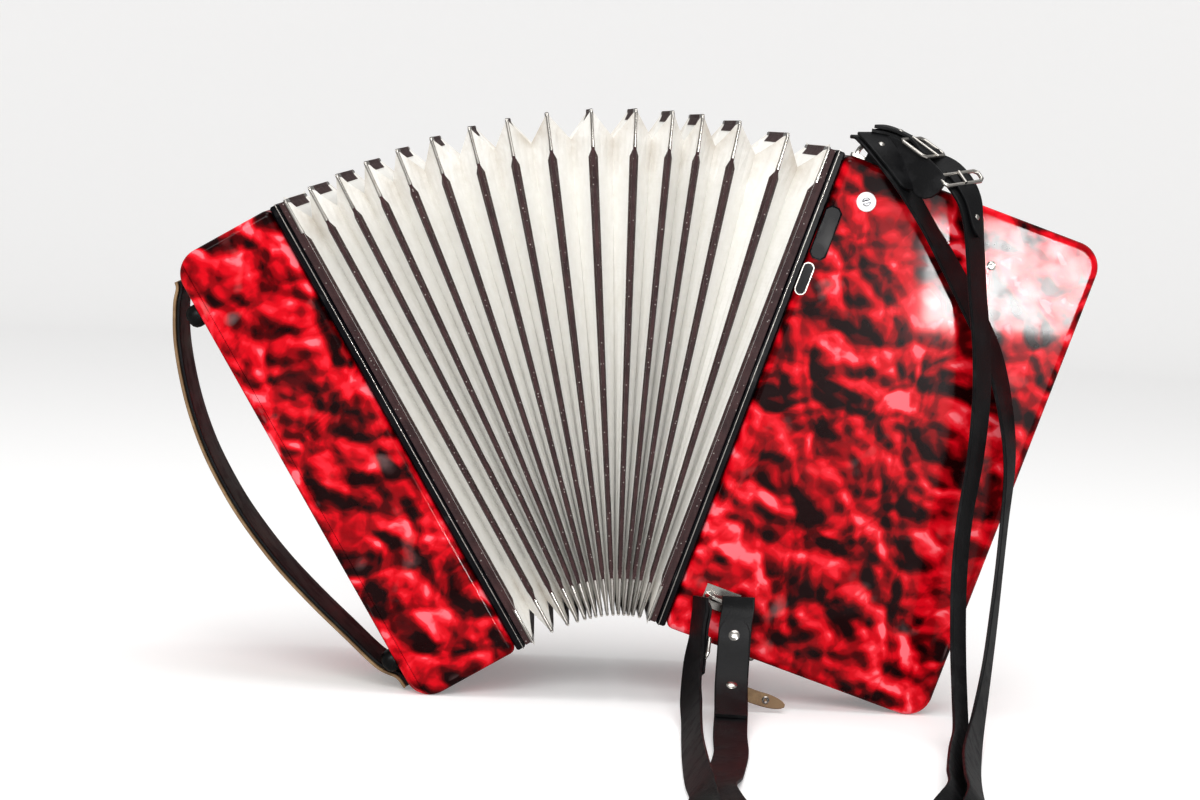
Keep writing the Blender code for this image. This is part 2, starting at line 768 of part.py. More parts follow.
# The shoulder straps' middles in millimetres, each with the direction of its width. A strap leaves the
# upper bracket and hangs down the back half turned, measured from that bracket's foot. It lies on the
# ground towards the player, turns round flat, and ends at the lower bracket, measured from that one's foot
ALONG_X = (1, 0, 0)
ALONG_Y = (0, 1, 0)
HALF_TURNED = (0.6, 0.8, 0)
STRAP_ONE_FROM_UPPER = (
    ((-2, 2, 15.3), ALONG_X),
    ((1, -9, 14), (1, 0.1, 0)),
    ((7, -20, 6), (0.9, 0.4, 0)),
    ((16, -28, -8), (0.6, 0.8, 0.1)),
    ((26, -30, -22), (0.45, 0.85, 0.25)),
    ((37, -30, -39), (0.4, 0.85, 0.25)),
    ((49, -29, -58), (0.5, 0.8, 0.3)),
    ((64, -29, -84), (0.6, 0.8, 0.3)),
    ((79, -29, -113), (0.6, 0.8, 0.2)),
    ((88, -31, -145), (0.5, 0.85, 0.1)),
)
STRAP_ONE_FREE = (
    ((209, -20, 160), (0.4, 0.9, 0)),
    ((207, -24, 121), (0.3, 0.95, 0)),
    ((202, -40, 75), (0.3, 0.95, 0)),
    ((195, -68, 41), (0.3, 0.8, -0.5)),
    ((186, -106, 16), (0.35, 0.4, -0.85)),
    ((178, -150, 10), (0.4, 0, -0.9)),
    ((170, -201, 9), (0.5, 0, -0.85)),
    ((164, -255, 8), (0.55, 0, -0.83)),
    ((161, -298, 7), (0.6, -0.1, -0.7)),
    ((151, -331, 3), (0.8, -0.6, -0.2)),
    ((128, -345, 2), (0.2, -1, 0)),
    ((92, -346.8, 2), (0, -1, 0)),
    ((58, -346, 2), (-0.2, -1, 0)),
    ((30, -337, 2), (-0.7, -0.7, 0)),
    ((16, -312, 5), (-0.9, -0.3, -0.4)),
)
STRAP_ONE_TO_LOWER = (
    ((-23, -280, -58), (-0.55, 0, -0.83)),
    ((-23.7, -245, -58), (-0.55, 0, -0.83)),
    ((-23.1, -188, -57.7), (-0.5, 0, -0.85)),
    ((-21, -130, -57.5), (-0.5, 0, -0.85)),
    ((-19, -84, -55), (-0.5, 0.3, -0.8)),
    ((-18.6, -56, -47), (-0.5, 0.6, -0.6)),
    ((-16.5, -34, -30), (-0.45, 0.85, -0.3)),
    ((-14.5, -24, -16), (-0.3, 1, -0.1)),
    ((-13.1, -18, -5.3), (-0.35, 0.93, 0)),
    ((-13.1, -17, 3.7), (-0.35, 0.93, 0)),
)
STRAP_TWO_FROM_UPPER = (
    ((1.8, 0, 19.3), ALONG_Y),
    ((11.8, -1.5, 18.4), (0, 1, 0.1)),
    ((24, -6, 13.5), (0.1, 1, 0.1)),
    ((36, -13, 5.5), (0.3, 0.9, 0.3)),
    ((48, -23, -3), (0.5, 0.75, 0.5)),
    ((57, -36, -17), (0.6, 0.7, 0.4)),
    ((60.5, -44, -33), (0.6, 0.8, 0.2)),
    ((62.5, -48, -52), (0.6, 0.8, 0.1)),
    ((65, -50, -77), HALF_TURNED),
    ((69, -50, -107), HALF_TURNED),
    ((70.5, -51, -137), HALF_TURNED),
)
STRAP_TWO_FREE = (
    ((185.5, -38, 165), (0.55, 0.83, 0)),
    ((180, -46, 128), (0.5, 0.85, 0)),
    ((177, -58, 93), (0.5, 0.85, -0.1)),
    ((176, -78, 55), (0.5, 0.8, -0.3)),
    ((175, -105, 27), (0.5, 0.6, -0.6)),
    ((172, -140, 12), (0.5, 0.2, -0.85)),
    ((164, -190, 10), (0.55, 0, -0.85)),
    ((156, -245, 8), (0.55, 0, -0.83)),
    ((151, -288, 7), (0.6, -0.2, -0.7)),
    ((134, -314, 2), (0.7, -0.7, 0)),
    ((106, -322, 2), (0.2, -1, 0)),
    ((84, -323, 2), (0, -1, 0)),
    ((58, -320, 2), (-0.4, -0.9, 0)),
    ((36, -307, 2), (-0.8, -0.6, 0)),
)
STRAP_TWO_TO_LOWER = (
    ((-13, -274, -63), (-0.9, -0.1, -0.3)),
    ((-6.2, -215, -65.3), (-1, 0, 0)),
    ((0.5, -155, -65.3), (-1, 0, 0)),
    ((2.5, -110, -63), (-1, 0, 0)),
    ((5, -72, -56), (-1, 0, 0)),
    ((6, -48, -45), (-1, 0, 0)),
    ((7.5, -31, -27), (-1, 0.1, 0)),
    ((8.5, -23, -12), (-1, 0.2, 0)),
    ((9.9, -19, -3.3), (-1, 0.3, 0)),
    ((9.9, -18, 4.7), (-1, 0.3, 0)),
)


def bracket_feet():
    """The two brackets' feet, where the treble half stands."""
    up = UPPER_BRACKET[0], UPPER_BRACKET[1], CASING_HEIGHT
    low = LOWER_BRACKET[0], 0, LOWER_BRACKET[1]
    feet = []
    for x, y, z in (up, low):
        spot = treble_corner + treble_across * x + treble_up * z
        feet.append(Vector((spot.x, y, spot.y)))
    return feet


def strap_path(from_upper, free, to_lower, steps=3):
    """The strap's middles and width vectors, none lower than the ground allows."""
    upper_foot, lower_foot = bracket_feet()
    stations = [(upper_foot + Vector(place) * MM, side) for place, side in from_upper]
    stations += [(Vector(place) * MM, side) for place, side in free]
    stations += [(lower_foot + Vector(place) * MM, side) for place, side in to_lower]
    middles = smooth_path([place for place, _ in stations], steps)
    sides = smooth_path([Vector(side).normalized() for _, side in stations], steps)
    across = []
    for k, place in enumerate(middles):
        run = (middles[min(k + 1, len(middles) - 1)] - middles[max(k - 1, 0)]).normalized()
        side = (sides[k] - run * sides[k].dot(run)).normalized()
        stand = STRAP_WIDTH / 2 * abs(side.z) + STRAP_THICKNESS / 2 * math.sqrt(1 - side.z**2) + STRAP_LIFT
        place.z = max(place.z, stand)
        across.append(side * STRAP_WIDTH)
    return middles, across


def shoulder_strap(name, from_upper, free, to_lower):
    middles, across = strap_path(from_upper, free, to_lower)
    print(name, "length", round(sum((b - a).length for a, b in zip(middles, middles[1:])), 3))
    return ribbon(name, middles, across, STRAP_THICKNESS, BLACK_LEATHER, ground)


def wire_arch(name, centre, radius, away, along_arch):
    """Half a ring of wire that stands on a plate: its legs lie along one direction, its top away."""
    curve = bpy.data.curves.new(name, "CURVE")
    curve.dimensions = "3D"
    curve.bevel_depth = BRACKET_WIRE
    curve.bevel_resolution = 1
    curve.use_fill_caps = True
    spline = curve.splines.new("POLY")
    steps = 10
    foot = Vector(centre) - Vector(away) * BRACKET_PLATE[2] / 2
    points = [foot - Vector(along_arch) * radius]
    for k in range(steps + 1):
        a = math.pi * (1 - k / steps)
        points.append(
            Vector(centre)
            + Vector(away) * (BRACKET_PLATE[2] + radius * math.sin(a))
            + Vector(along_arch) * radius * math.cos(a)
        )
    points.append(foot + Vector(along_arch) * radius)
    spline.points.add(len(points) - 1)
    for point, place in zip(spline.points, points):
        point.co = (*place, 1)
    drawn = mesh_object(name, curve)
    graph = bpy.context.evaluated_depsgraph_get()
    mesh = bpy.data.meshes.new_from_object(drawn.evaluated_get(graph))
    bpy.data.objects.remove(drawn, do_unlink=True)
    bm = bmesh.new()
    bm.from_mesh(mesh)
    bpy.data.meshes.remove(mesh)
    bmesh.ops.remove_doubles(bm, verts=bm.verts, dist=WELD)
    return from_bmesh(name, bm)


def bracket(name, plate_low, plate_high, centre, radius, away, along_arch):
    """A plate with a wire arch, in one piece."""
    plate = box(name, plate_low, plate_high)
    arch = wire_arch(name + "_arch", centre, radius, away, along_arch)
    shape_at_once(plate, arch, "UNION")
    return finish(plate, CHROME, 0.2, 1.0, treble)


def upper_strap_bracket():
    x, y = UPPER_BRACKET
    long, wide, thick = BRACKET_PLATE
    seat = CASING_HEIGHT + FIT
    low = (x - long / 2, y - wide / 2, seat)
    high = (x + long / 2, y + wide / 2, seat + thick)
    centre = (x, y, seat + thick / 2)
    return bracket("upper_strap_bracket", low, high, centre, UPPER_ARCH, (0, 0, 1), (1, 0, 0))


def lower_strap_bracket():
    x, z = LOWER_BRACKET
    long, wide, thick = BRACKET_PLATE
    low = (x - long / 2, -FIT - thick, z - wide / 2)
    high = (x + long / 2, -FIT, z + wide / 2)
    centre = (x, -FIT - thick / 2, z)
    return bracket("lower_strap_bracket", low, high, centre, LOWER_ARCH, (0, -1, 0), (1, 0, 0))


# Bellows
def ridge_frame(index):
    """The stiff edge of one fold: a thin ring the size of the casing."""
    name = f"ridge_{index:02d}"
    lean = ridge_leans[index]
    foot = ridge_feet[index]
    pivot = ridge_pivots[index]
    half = RIDGE_THICKNESS / 2
    ring = box(name, (-half, 0, 0), (half, CASING_DEPTH, CASING_HEIGHT))
    opening = box(
        name + "_opening",
        (-WALL, RIDGE_DEPTH, RIDGE_DEPTH),
        (WALL, CASING_DEPTH - RIDGE_DEPTH, CASING_HEIGHT - RIDGE_DEPTH),
    )
    shape_at_once(ring, opening)
    turn = Matrix.Rotation(lean, 4, "Y")
    ring.data.transform(Matrix.Translation((foot.x - pivot.x, 0, foot.y - pivot.y)) @ turn)
    ring.location = (pivot.x, 0, pivot.y)
    note_pivot(name, ground, (pivot.x, 0, pivot.y), (0, 1, 0))
    return finish(ring, MAROON_TAPE, 0.5, parent=ground)


def bellows_skin():
    """The pleated cloth and card: a tube whose walls run in and out between the ridges."""
    crest = RIDGE_DEPTH + FIT + SKIN_THICKNESS
    valley = FOLD_DEPTH
    loops = []
    for index in range(fold_count + 1):
        place, lean = ridge_feet[index], ridge_leans[index]
        if index == 0:
            place = treble_corner - treble_across * (FIT + CREST_HALF)
        if index == fold_count:
            place = bass_corner + bass_across * (FIT + CREST_HALF)
        loops.append((place, lean, crest, CREST_HALF))
        loops.append((place, lean, crest, -CREST_HALF))
        if index < fold_count:
            after, after_lean = ridge_feet[index + 1], ridge_leans[index + 1]
            middle, middle_lean = (ridge_feet[index] + after) / 2, (lean + after_lean) / 2
            loops.append((middle, middle_lean, valley, VALLEY_HALF))
            loops.append((middle, middle_lean, valley, -VALLEY_HALF))
    bm = bmesh.new()
    rings = []
    for place, lean, inset, shift in loops:
        across, up = lean_axes(lean)
        corners = (
            (inset, inset),
            (CASING_DEPTH - inset, inset),
            (CASING_DEPTH - inset, CASING_HEIGHT - inset),
            (inset, CASING_HEIGHT - inset),
        )
        ring = []
        for depth, height in corners:
            spot = place + across * shift + up * height
            ring.append(bm.verts.new((spot.x, depth, spot.y)))
        rings.append(ring)
    for a, b in zip(rings, rings[1:]):
        for k in range(4):
            n = (k + 1) % 4
            bm.faces.new((a[k], a[n], b[n], b[k]))
    skin = from_bmesh("bellows_skin", bm)
    step = skin.modifiers.new("thickness", "SOLIDIFY")
    step.thickness = SKIN_THICKNESS
    step.offset = 0
    step.use_even_offset = True
    return finish(skin, CREAM_CLOTH, 0.7, parent=ground)


treble_casing()
key_axle()
for index in range(WHITE_KEYS):
    white_key(index)
for count, index in enumerate(BLACK_AFTER):
    black_key(count, index)
treble_grille()
bellows_frame("treble_bellows_frame", treble, 1)
bellows_frame("bass_bellows_frame", bass, -1)
reed_block("treble_reed_block", REED_BLOCK, CHAMBER_WIDTH - WALL - FIT, treble, 1)
bass_casing()
reed_block("bass_reed_block", BASS_REED_BLOCK, bass_wall() + FIT, bass, -1)
bass_end_cover()
for count, place in enumerate(button_places()):
    push_button(f"bass_button_{count + 1}", place, BUTTON_RADIUS, IVORY)
push_button("air_button", air_place(), AIR_BUTTON_RADIUS, IVORY)
hand_strap()
for index in range(1, fold_count):
    ridge_frame(index)
bellows_skin()
shoulder_strap("shoulder_strap_1", STRAP_ONE_FROM_UPPER, STRAP_ONE_FREE, STRAP_ONE_TO_LOWER)
shoulder_strap("shoulder_strap_2", STRAP_TWO_FROM_UPPER, STRAP_TWO_FREE, STRAP_TWO_TO_LOWER)
upper_strap_bracket()
lower_strap_bracket()


def centre_on_ground():
    """Moves the whole so that the middle of its box stands on the origin, and lists the joints."""
    bpy.context.view_layer.update()
    graph = bpy.context.evaluated_depsgraph_get()
    low, high = Vector((1e9,) * 3), Vector((-1e9,) * 3)
    for obj in parts.objects:
        if obj.type != "MESH":
            continue
        shown = obj.evaluated_get(graph)
        for vertex in shown.data.vertices:
            spot = shown.matrix_world @ vertex.co
            low = Vector(map(min, low, spot))
            high = Vector(map(max, high, spot))
    ground.location = (-(low.x + high.x) / 2, -(low.y + high.y) / 2, -low.z)
    bpy.context.view_layer.update()
    print("size", [round(v, 4) for v in high - low], "shift", [round(v, 5) for v in ground.location])
    for name, (holder, place, direction) in pivots.items():
        world = holder.matrix_world
        at = world @ place
        axis = world.to_3x3() @ direction
        print("joint", name, [round(v, 5) for v in at], [round(v, 5) for v in axis])
    main = ridge_pivots[fold_count]
    at = ground.matrix_world @ Vector((main.x, 0, main.y))
    print("joint bellows_fan", [round(v, 5) for v in at], "closes by", round(math.degrees(fan_angle), 3))
    for index in range(1, fold_count):
        print("ratio", index, round(fold_turns[index], 4))


centre_on_ground()
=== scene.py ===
# %% [markdown]
# # A small piano accordion, fanned open
# The instrument stands on the lower edges of its two halves, with the player's side towards us.
# The solids come from the frame, which also knows how the bellows, the keys and the buttons move.
# This lesson puts the fine surface on them, one piece or finish at a time.

# %% The frame
import json
import math

import bmesh
import bpy
from mathutils import Matrix, Vector


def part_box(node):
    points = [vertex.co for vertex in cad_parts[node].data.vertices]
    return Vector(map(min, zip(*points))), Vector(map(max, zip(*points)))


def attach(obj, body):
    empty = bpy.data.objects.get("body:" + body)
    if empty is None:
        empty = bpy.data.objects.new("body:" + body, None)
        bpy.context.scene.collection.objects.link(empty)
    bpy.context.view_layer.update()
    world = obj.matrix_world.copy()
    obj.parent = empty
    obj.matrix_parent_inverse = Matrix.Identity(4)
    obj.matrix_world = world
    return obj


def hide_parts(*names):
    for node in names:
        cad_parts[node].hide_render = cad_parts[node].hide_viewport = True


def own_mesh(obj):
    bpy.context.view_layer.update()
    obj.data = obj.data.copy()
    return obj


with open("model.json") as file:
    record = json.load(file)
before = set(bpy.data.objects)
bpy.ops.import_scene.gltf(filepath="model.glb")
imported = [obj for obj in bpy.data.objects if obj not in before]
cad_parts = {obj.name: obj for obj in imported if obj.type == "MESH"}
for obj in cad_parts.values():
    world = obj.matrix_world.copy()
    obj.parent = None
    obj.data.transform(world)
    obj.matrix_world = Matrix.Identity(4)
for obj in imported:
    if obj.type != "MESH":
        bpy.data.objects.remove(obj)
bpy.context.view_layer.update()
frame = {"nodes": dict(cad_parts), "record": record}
nodes = frame["nodes"]

# %% [markdown]
# ## Sizes
# Everything is in metres. The pieces below sit on the solids, so they repeat the few sizes that
# the solids were made from. Each half has its own frame: x = 0 is the face that the bellows meets,
# y = 0 is the back panel, z = 0 is the lower end. The halves lean away from each other.

# %% Sizes and the two halves
MM = 0.001
HEIGHT, DEPTH = 310 * MM, 170 * MM
TREBLE_WIDTH, BASS_WIDTH = 176.5 * MM, 75 * MM
CORNER, EDGE, WALL, GAP = 16 * MM, 4.5 * MM, 5 * MM, 0.3 * MM
FRAME_THICKNESS = 6 * MM
TREBLE_LEAN, BASS_LEAN = math.radians(18.1), math.radians(31.5)
FAN = TREBLE_LEAN + BASS_LEAN
SHIFT = Vector((21.874, 93.51, 0)) * MM
BOTTOM_GAP = 78.7 * MM


def half_frame(x, lean, width):
    """The place of a half that leans, with its rounded outer corner on the ground."""
    side = 1 if lean > 0 else -1
    rise = CORNER + math.sin(abs(lean)) * (width - CORNER) - math.cos(lean) * CORNER
    print("lower bellows corner", round(rise * 1000, 2), "mm up, side", side)
    return Matrix.Translation(SHIFT + Vector((x, 0, rise))) @ Matrix.Rotation(lean, 4, "Y")


treble = half_frame(0, TREBLE_LEAN, TREBLE_WIDTH)
bass = half_frame(-BOTTOM_GAP, -BASS_LEAN, BASS_WIDTH)

# %% [markdown]
# ## Camera
# The camera stands level with the top of the instrument, nearly square to its back, and looks a
# little down. Its place and its lens were found from points whose real places are known, so they
# only have to be set.

# %% Camera
CAMERA_PLACE = (-0.06236, -1.84386, 0.35501)
CAMERA_RIGHT = Vector((0.99880, -0.01873, 0.04534))
CAMERA_UP = Vector((-0.04354, 0.08742, 0.99522))
CAMERA_AHEAD = Vector((0.02261, 0.99600, -0.08650))

lens = bpy.data.cameras.new("camera")
lens.lens = 95.7
lens.sensor_width = 36
camera = bpy.data.objects.new("camera", lens)
turned = Matrix((CAMERA_RIGHT, CAMERA_UP, -CAMERA_AHEAD)).transposed().to_4x4()
camera.matrix_world = Matrix.Translation(CAMERA_PLACE) @ turned
bpy.context.scene.collection.objects.link(camera)
bpy.context.scene.camera = camera
print("camera", [round(v, 3) for v in camera.location], "lens", lens.lens)

# %% [markdown]
# ## Helpers for meshes
# New pieces are drawn in a half's own frame and then carried to their place inside the mesh, so
# that the finished object stays at the origin. A finished piece gets its finish and the body that it
# rides on.

# %% Helpers for meshes
def linked(name, data):
    """A new object in the scene."""
    obj = bpy.data.objects.new(name, data)
    bpy.context.scene.collection.objects.link(obj)
    return obj


def object_from(bm, name, place=None):
    """Makes an object of a bmesh, with its place in the mesh."""
    if place is not None:
        bmesh.ops.transform(bm, matrix=place, verts=bm.verts)
    mesh = bpy.data.meshes.new(name)
    bm.to_mesh(mesh)
    bm.free()
    return linked(name, mesh)


def smooth(obj, angle=35):
    """Smooth shading with sharp creases, where a big face keeps its own direction."""
    obj.data.shade_smooth()
    obj.data.set_sharp_from_angle(angle=math.radians(angle))
    step = obj.modifiers.new("weighted normals", "WEIGHTED_NORMAL")
    step.keep_sharp = True
    return modified(obj)


def modified(obj):
    """The object with its modifiers made part of its mesh."""
    graph = bpy.context.evaluated_depsgraph_get()
    mesh = bpy.data.meshes.new_from_object(obj.evaluated_get(graph))
    obj.modifiers.clear()
    obj.data = mesh
    return obj


def crossed(obj, other, operation="DIFFERENCE"):
    """Cuts a closed mesh with another, or keeps what they share, and drops the second."""
    step = obj.modifiers.new(other.name, "BOOLEAN")
    step.operation, step.object, step.solver = operation, other, "EXACT"
    modified(obj)
    bpy.data.objects.remove(other, do_unlink=True)
    return obj


def rounded(obj, width, segments=3, angle=40):
    """Rounds the edges that are sharper than an angle."""
    step = obj.modifiers.new("rounded edges", "BEVEL")
    step.width, step.segments, step.limit_method = width, segments, "ANGLE"
    step.angle_limit, step.harden_normals = math.radians(angle), False
    return modified(obj)


def thick(obj, thickness):
    """Makes a sheet a solid, half its thickness to each side."""
    step = obj.modifiers.new("thickness", "SOLIDIFY")
    step.thickness, step.offset, step.use_even_offset = thickness, 0, True
    return modified(obj)


def block(low, high):
    """A box between two corners."""
    low, high = Vector(low), Vector(high)
    bm = bmesh.new()
    bmesh.ops.create_cube(bm, size=1)
    bmesh.ops.scale(bm, vec=high - low, verts=bm.verts)
    bmesh.ops.translate(bm, vec=(low + high) / 2, verts=bm.verts)
    return object_from(bm, "block")


def raised(outline, axis, low, high, name="raised"):
    """An outline drawn across y or z and carried along it from low to high."""
    bm = bmesh.new()
    face = bm.faces.new([bm.verts.new((a, low, b) if axis == "y" else (a, b, low)) for a, b in outline])
    way = Vector((0, high - low, 0) if axis == "y" else (0, 0, high - low))
    grown = bmesh.ops.extrude_face_region(bm, geom=[face])
    moved = [v for v in grown["geom"] if isinstance(v, bmesh.types.BMVert)]
    bmesh.ops.translate(bm, vec=way, verts=moved)
    bmesh.ops.recalc_face_normals(bm, faces=bm.faces)
    return object_from(bm, name)


def sheet_through(bm, rows, closed=False, marked=()):
    """Adds a grid bent through rows of points. Marked columns get 1 in the attribute "mark"."""
    if closed:
        rows = [row + row[:1] for row in rows]
    mark = bm.verts.layers.float.get("mark") or bm.verts.layers.float.new("mark")
    long, wide = len(rows) - 1, len(rows[0]) - 1
    made = bmesh.ops.create_grid(bm, x_segments=long, y_segments=wide, size=1)["verts"]
    for corner in made:
        row, column = round((corner.co.x + 1) / 2 * long), round((corner.co.y + 1) / 2 * wide)
        corner.co = rows[row][column]
        corner[mark] = float(column % (wide if closed else wide + 1) in marked)
    if closed:
        bmesh.ops.remove_doubles(bm, verts=made, dist=1e-7)
    bmesh.ops.recalc_face_normals(bm, faces=bm.faces)
    return bm


def lathe(profile, place, name, steps=32):
    """A profile of radius and height, in millimetres, turned round the place's own upright axis."""
    bm = bmesh.new()
    corners = [bm.verts.new((r * MM, 0, h * MM)) for r, h in profile]
    edges = [bm.edges.new(pair) for pair in zip(corners, corners[1:])]
    whole = {"cent": (0, 0, 0), "axis": (0, 0, 1), "angle": math.tau, "use_merge": True}
    bmesh.ops.spin(bm, geom=corners + edges, steps=steps, **whole)
    bmesh.ops.remove_doubles(bm, verts=bm.verts, dist=1e-6)
    bmesh.ops.recalc_face_normals(bm, faces=bm.faces)
    return smooth(object_from(bm, name, place))


def wire(points, radius, name, closed=False):
    """A round wire through points."""
    curve = bpy.data.curves.new(name, "CURVE")
    curve.dimensions, curve.bevel_depth, curve.bevel_resolution = "3D", radius, 4
    curve.use_fill_caps = True
    spline = curve.splines.new("POLY")
    spline.points.add(len(points) - 1)
    for spot, place in zip(spline.points, points):
        spot.co = (*place, 1)
    spline.use_cyclic_u = closed
    line = linked(name, curve)
    mesh = bpy.data.meshes.new_from_object(line)
    bpy.data.objects.remove(line, do_unlink=True)
    return smooth(linked(name, mesh), 60)


def cut_corners(width, length, cut):
    """An oblong with cut corners, as an outline."""
    a, b = width / 2, length / 2
    upper = [(-a, b - cut), (-a + cut, b), (a - cut, b), (a, b - cut)]
    return upper + [(-x, -y) for x, y in upper]


def joined(pieces, name):
    """Several meshes made one object."""
    bm = bmesh.new()
    for piece in pieces:
        bm.from_mesh(piece.data)
        bpy.data.objects.remove(piece, do_unlink=True)
    return smooth(object_from(bm, name))


def dress(obj, finish, body, slot, *replaced):
    """Gives a piece its finish and its body, and hides the solids that it stands for. The slot is not used.
    """
    obj.data.materials.clear()
    obj.data.materials.append(finish)
    if replaced:
        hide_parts(*replaced)
    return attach(obj, body)


# %% [markdown]
# ## Helpers for finishes
# A finish is a Principled shader with a few nodes in front of it. Effects that several finishes
# share, such as fine scratches, cloth weave and leather grain, are node groups with named inputs,
# built once. Each finish then places the group with values of its own.

# %% Helpers for finishes
def feed(tree, socket, value):
    """Links another socket in, or sets a number, a vector or a colour."""
    if isinstance(value, bpy.types.NodeSocket):
        tree.links.new(value, socket)
    else:
        socket.default_value = (*value, 1) if socket.type == "RGBA" else value


def feeds(tree, sockets, **values):
    """Feeds several sockets by name, where _ stands for a space."""
    for name, value in values.items():
        feed(tree, sockets[name.replace("_", " ")], value)


def node(tree, kind, **values):
    """Adds a node. A value whose name is an input's goes to the input, and any other to the node."""
    new = tree.nodes.new(kind)
    for name, value in values.items():
        if name.replace("_", " ") in new.inputs:
            feeds(tree, new.inputs, **{name: value})
        else:
            setattr(new, name, value)
    return new


def sums(tree, operation, a, b=0.5, clamp=False):
    """A Math node's result, from numbers or sockets."""
    new = node(tree, "ShaderNodeMath", operation=operation, use_clamp=clamp)
    for socket, value in zip(new.inputs, (a, b)):
        feed(tree, socket, value)
    return new.outputs[0]


def times(tree, a, b):
    return sums(tree, "MULTIPLY", a, b)


def plus(tree, a, b):
    return sums(tree, "ADD", a, b)


def spread(tree, value, low, high, to_low=0.0, to_high=1.0):
    """Maps a value between two limits, and holds it inside them."""
    limits = {"From_Min": low, "From_Max": high, "To_Min": to_low, "To_Max": to_high}
    return node(tree, "ShaderNodeMapRange", Value=value, **limits).outputs["Result"]


def noise(tree, where, scale, detail, **more):
    """A cloudy pattern."""
    return node(tree, "ShaderNodeTexNoise", Vector=where, Scale=scale, Detail=detail, **more).outputs[0]


def mixed(tree, share, first, second):
    """A mix of two colours."""
    new = node(tree, "ShaderNodeMix", data_type="RGBA")
    for place, value in ((0, share), (6, first), (7, second)):
        feed(tree, new.inputs[place], value)
    return new.outputs[2]


def ramp(tree, value, stops):
    """A ramp of colours that ease into each other."""
    new = tree.nodes.new("ShaderNodeValToRGB")
    tree.links.new(value, new.inputs[0])
    new.color_ramp.interpolation = "EASE"
    while len(new.color_ramp.elements) < len(stops):
        new.color_ramp.elements.new(0.5)
    for element, (place, colour) in zip(new.color_ramp.elements, stops):
        element.position, element.color = place, (*colour, 1)
    return new.outputs[0]


def group(name, values, results):
    """An empty node group: a vector and named numbers go in, and named numbers come out."""
    tree = bpy.data.node_groups.new(name, "ShaderNodeTree")
    tree.interface.new_socket("Vector", in_out="INPUT", socket_type="NodeSocketVector")
    for socket, value in values.items():
        made = tree.interface.new_socket(socket, in_out="INPUT", socket_type="NodeSocketFloat")
        made.default_value = value
    for socket in results:
        tree.interface.new_socket(socket, in_out="OUTPUT", socket_type="NodeSocketFloat")
    return tree, tree.nodes.new("NodeGroupInput").outputs, tree.nodes.new("NodeGroupOutput").inputs


def placed(tree, made, where, **values):
    """Puts a node group in a material, with its inputs set."""
    new = node(tree, "ShaderNodeGroup", node_tree=made)
    feeds(tree, new.inputs, Vector=where, **values)
    return new.outputs


def finish(name, **fixed):
    """A new material: its tree, its shader's inputs and its Object coordinates."""
    made = bpy.data.materials.new(name)
    made.use_nodes = True
    tree = made.node_tree
    shader = tree.nodes["Principled BSDF"].inputs
    feeds(tree, shader, **fixed)
    return made, tree, shader, tree.nodes.new("ShaderNodeTexCoord").outputs["Object"]


def bump(tree, height, strength, distance):
    values = {"Height": height, "Strength": strength, "Distance": distance}
    return node(tree, "ShaderNodeBump", **values).outputs["Normal"]


# %% [markdown]
# ### Fine scratches and handling marks
# A polished surface that has been carried around isn't even: it has hairlines that run every way,
# and dull patches where hands and cloth have rubbed. The hairlines come from three stretched noises
# that cross. The group gives a mask of the marks and a roughness to add.

# %% Fine scratches and handling marks
MARKS = {"Hairlines": 0.5, "Dullness": 0.08, "Roughness": 0.1}
HAIR_TURNS = ((0.6, 0), (-0.9, 7), (1.9, 13))
handling, given, gives = group("handling marks", MARKS, ("Marks", "Roughness"))
lines = 0.0
for turn, seed in HAIR_TURNS:
    turned = node(handling, "ShaderNodeMapping", Vector=given["Vector"], Rotation=(turn, turn * 0.7, turn))
    feeds(handling, turned.inputs, Scale=(40, 900, 40), Location=(seed, seed, seed))
    hair = noise(handling, turned.outputs[0], 1.0, 1.0)
    lines = sums(handling, "MAXIMUM", lines, spread(handling, hair, 0.68, 0.78))
rubbed = noise(handling, given["Vector"], 22.0, 4.0, Roughness=0.6)
marks = times(handling, times(handling, lines, spread(handling, rubbed, 0.45, 0.7)), given["Hairlines"])
dull = times(handling, spread(handling, rubbed, 0.35, 0.75), given["Dullness"])
rough = plus(handling, given["Roughness"], plus(handling, dull, times(handling, marks, 0.3)))
feeds(handling, gives, Marks=marks, Roughness=rough)
print("group", handling.name, len(handling.nodes), "nodes")

# %% [markdown]
# ### Pearl marbling
# The covering is a celluloid sheet full of pearl flakes, which settled in crumpled folds before it
# set. The flakes on each flank of a fold tilt one way, so a flank is a soft gradient from near black
# to bright red, and a dark crease lies where two folds meet. The pattern is a crumpled height: soft
# cells of two sizes and a noise. Its brightness is the slope of that height along one direction,
# which is the height a little further on, less the height a little way back.

# %% Pearl marbling
marbling, given, gives = group("pearl marbling", {"Scale": 34.0, "Warp": 0.03, "Contrast": 1.7}, ["Pearl"])
SLOPE_STEP = tuple(Vector((1.5, 0.4, 2.1)) * MM)
NOISE_SHARE, CELL_SHARES, CELL_SOFTNESS = 0.6, ((1.0, 1.2), (2.3, 0.42)), 0.05


def vectors(operation, a, b=None, scale=None):
    """A Vector Math node's result, from vectors or sockets."""
    new = node(marbling, "ShaderNodeVectorMath", operation=operation)
    for place, value in ((0, a), (1, b), (3, scale)):
        if value is not None:
            feed(marbling, new.inputs[place], value)
    return new.outputs[0]


def sized(factor):
    return times(marbling, given["Scale"], factor)


def warped(where):
    bend = node(marbling, "ShaderNodeTexNoise", Vector=where, Scale=sized(0.5), Detail=2.0)
    away = vectors("SUBTRACT", bend.outputs["Color"], (0.5, 0.5, 0.5))
    return vectors("ADD", where, vectors("SCALE", away, scale=given["Warp"]))


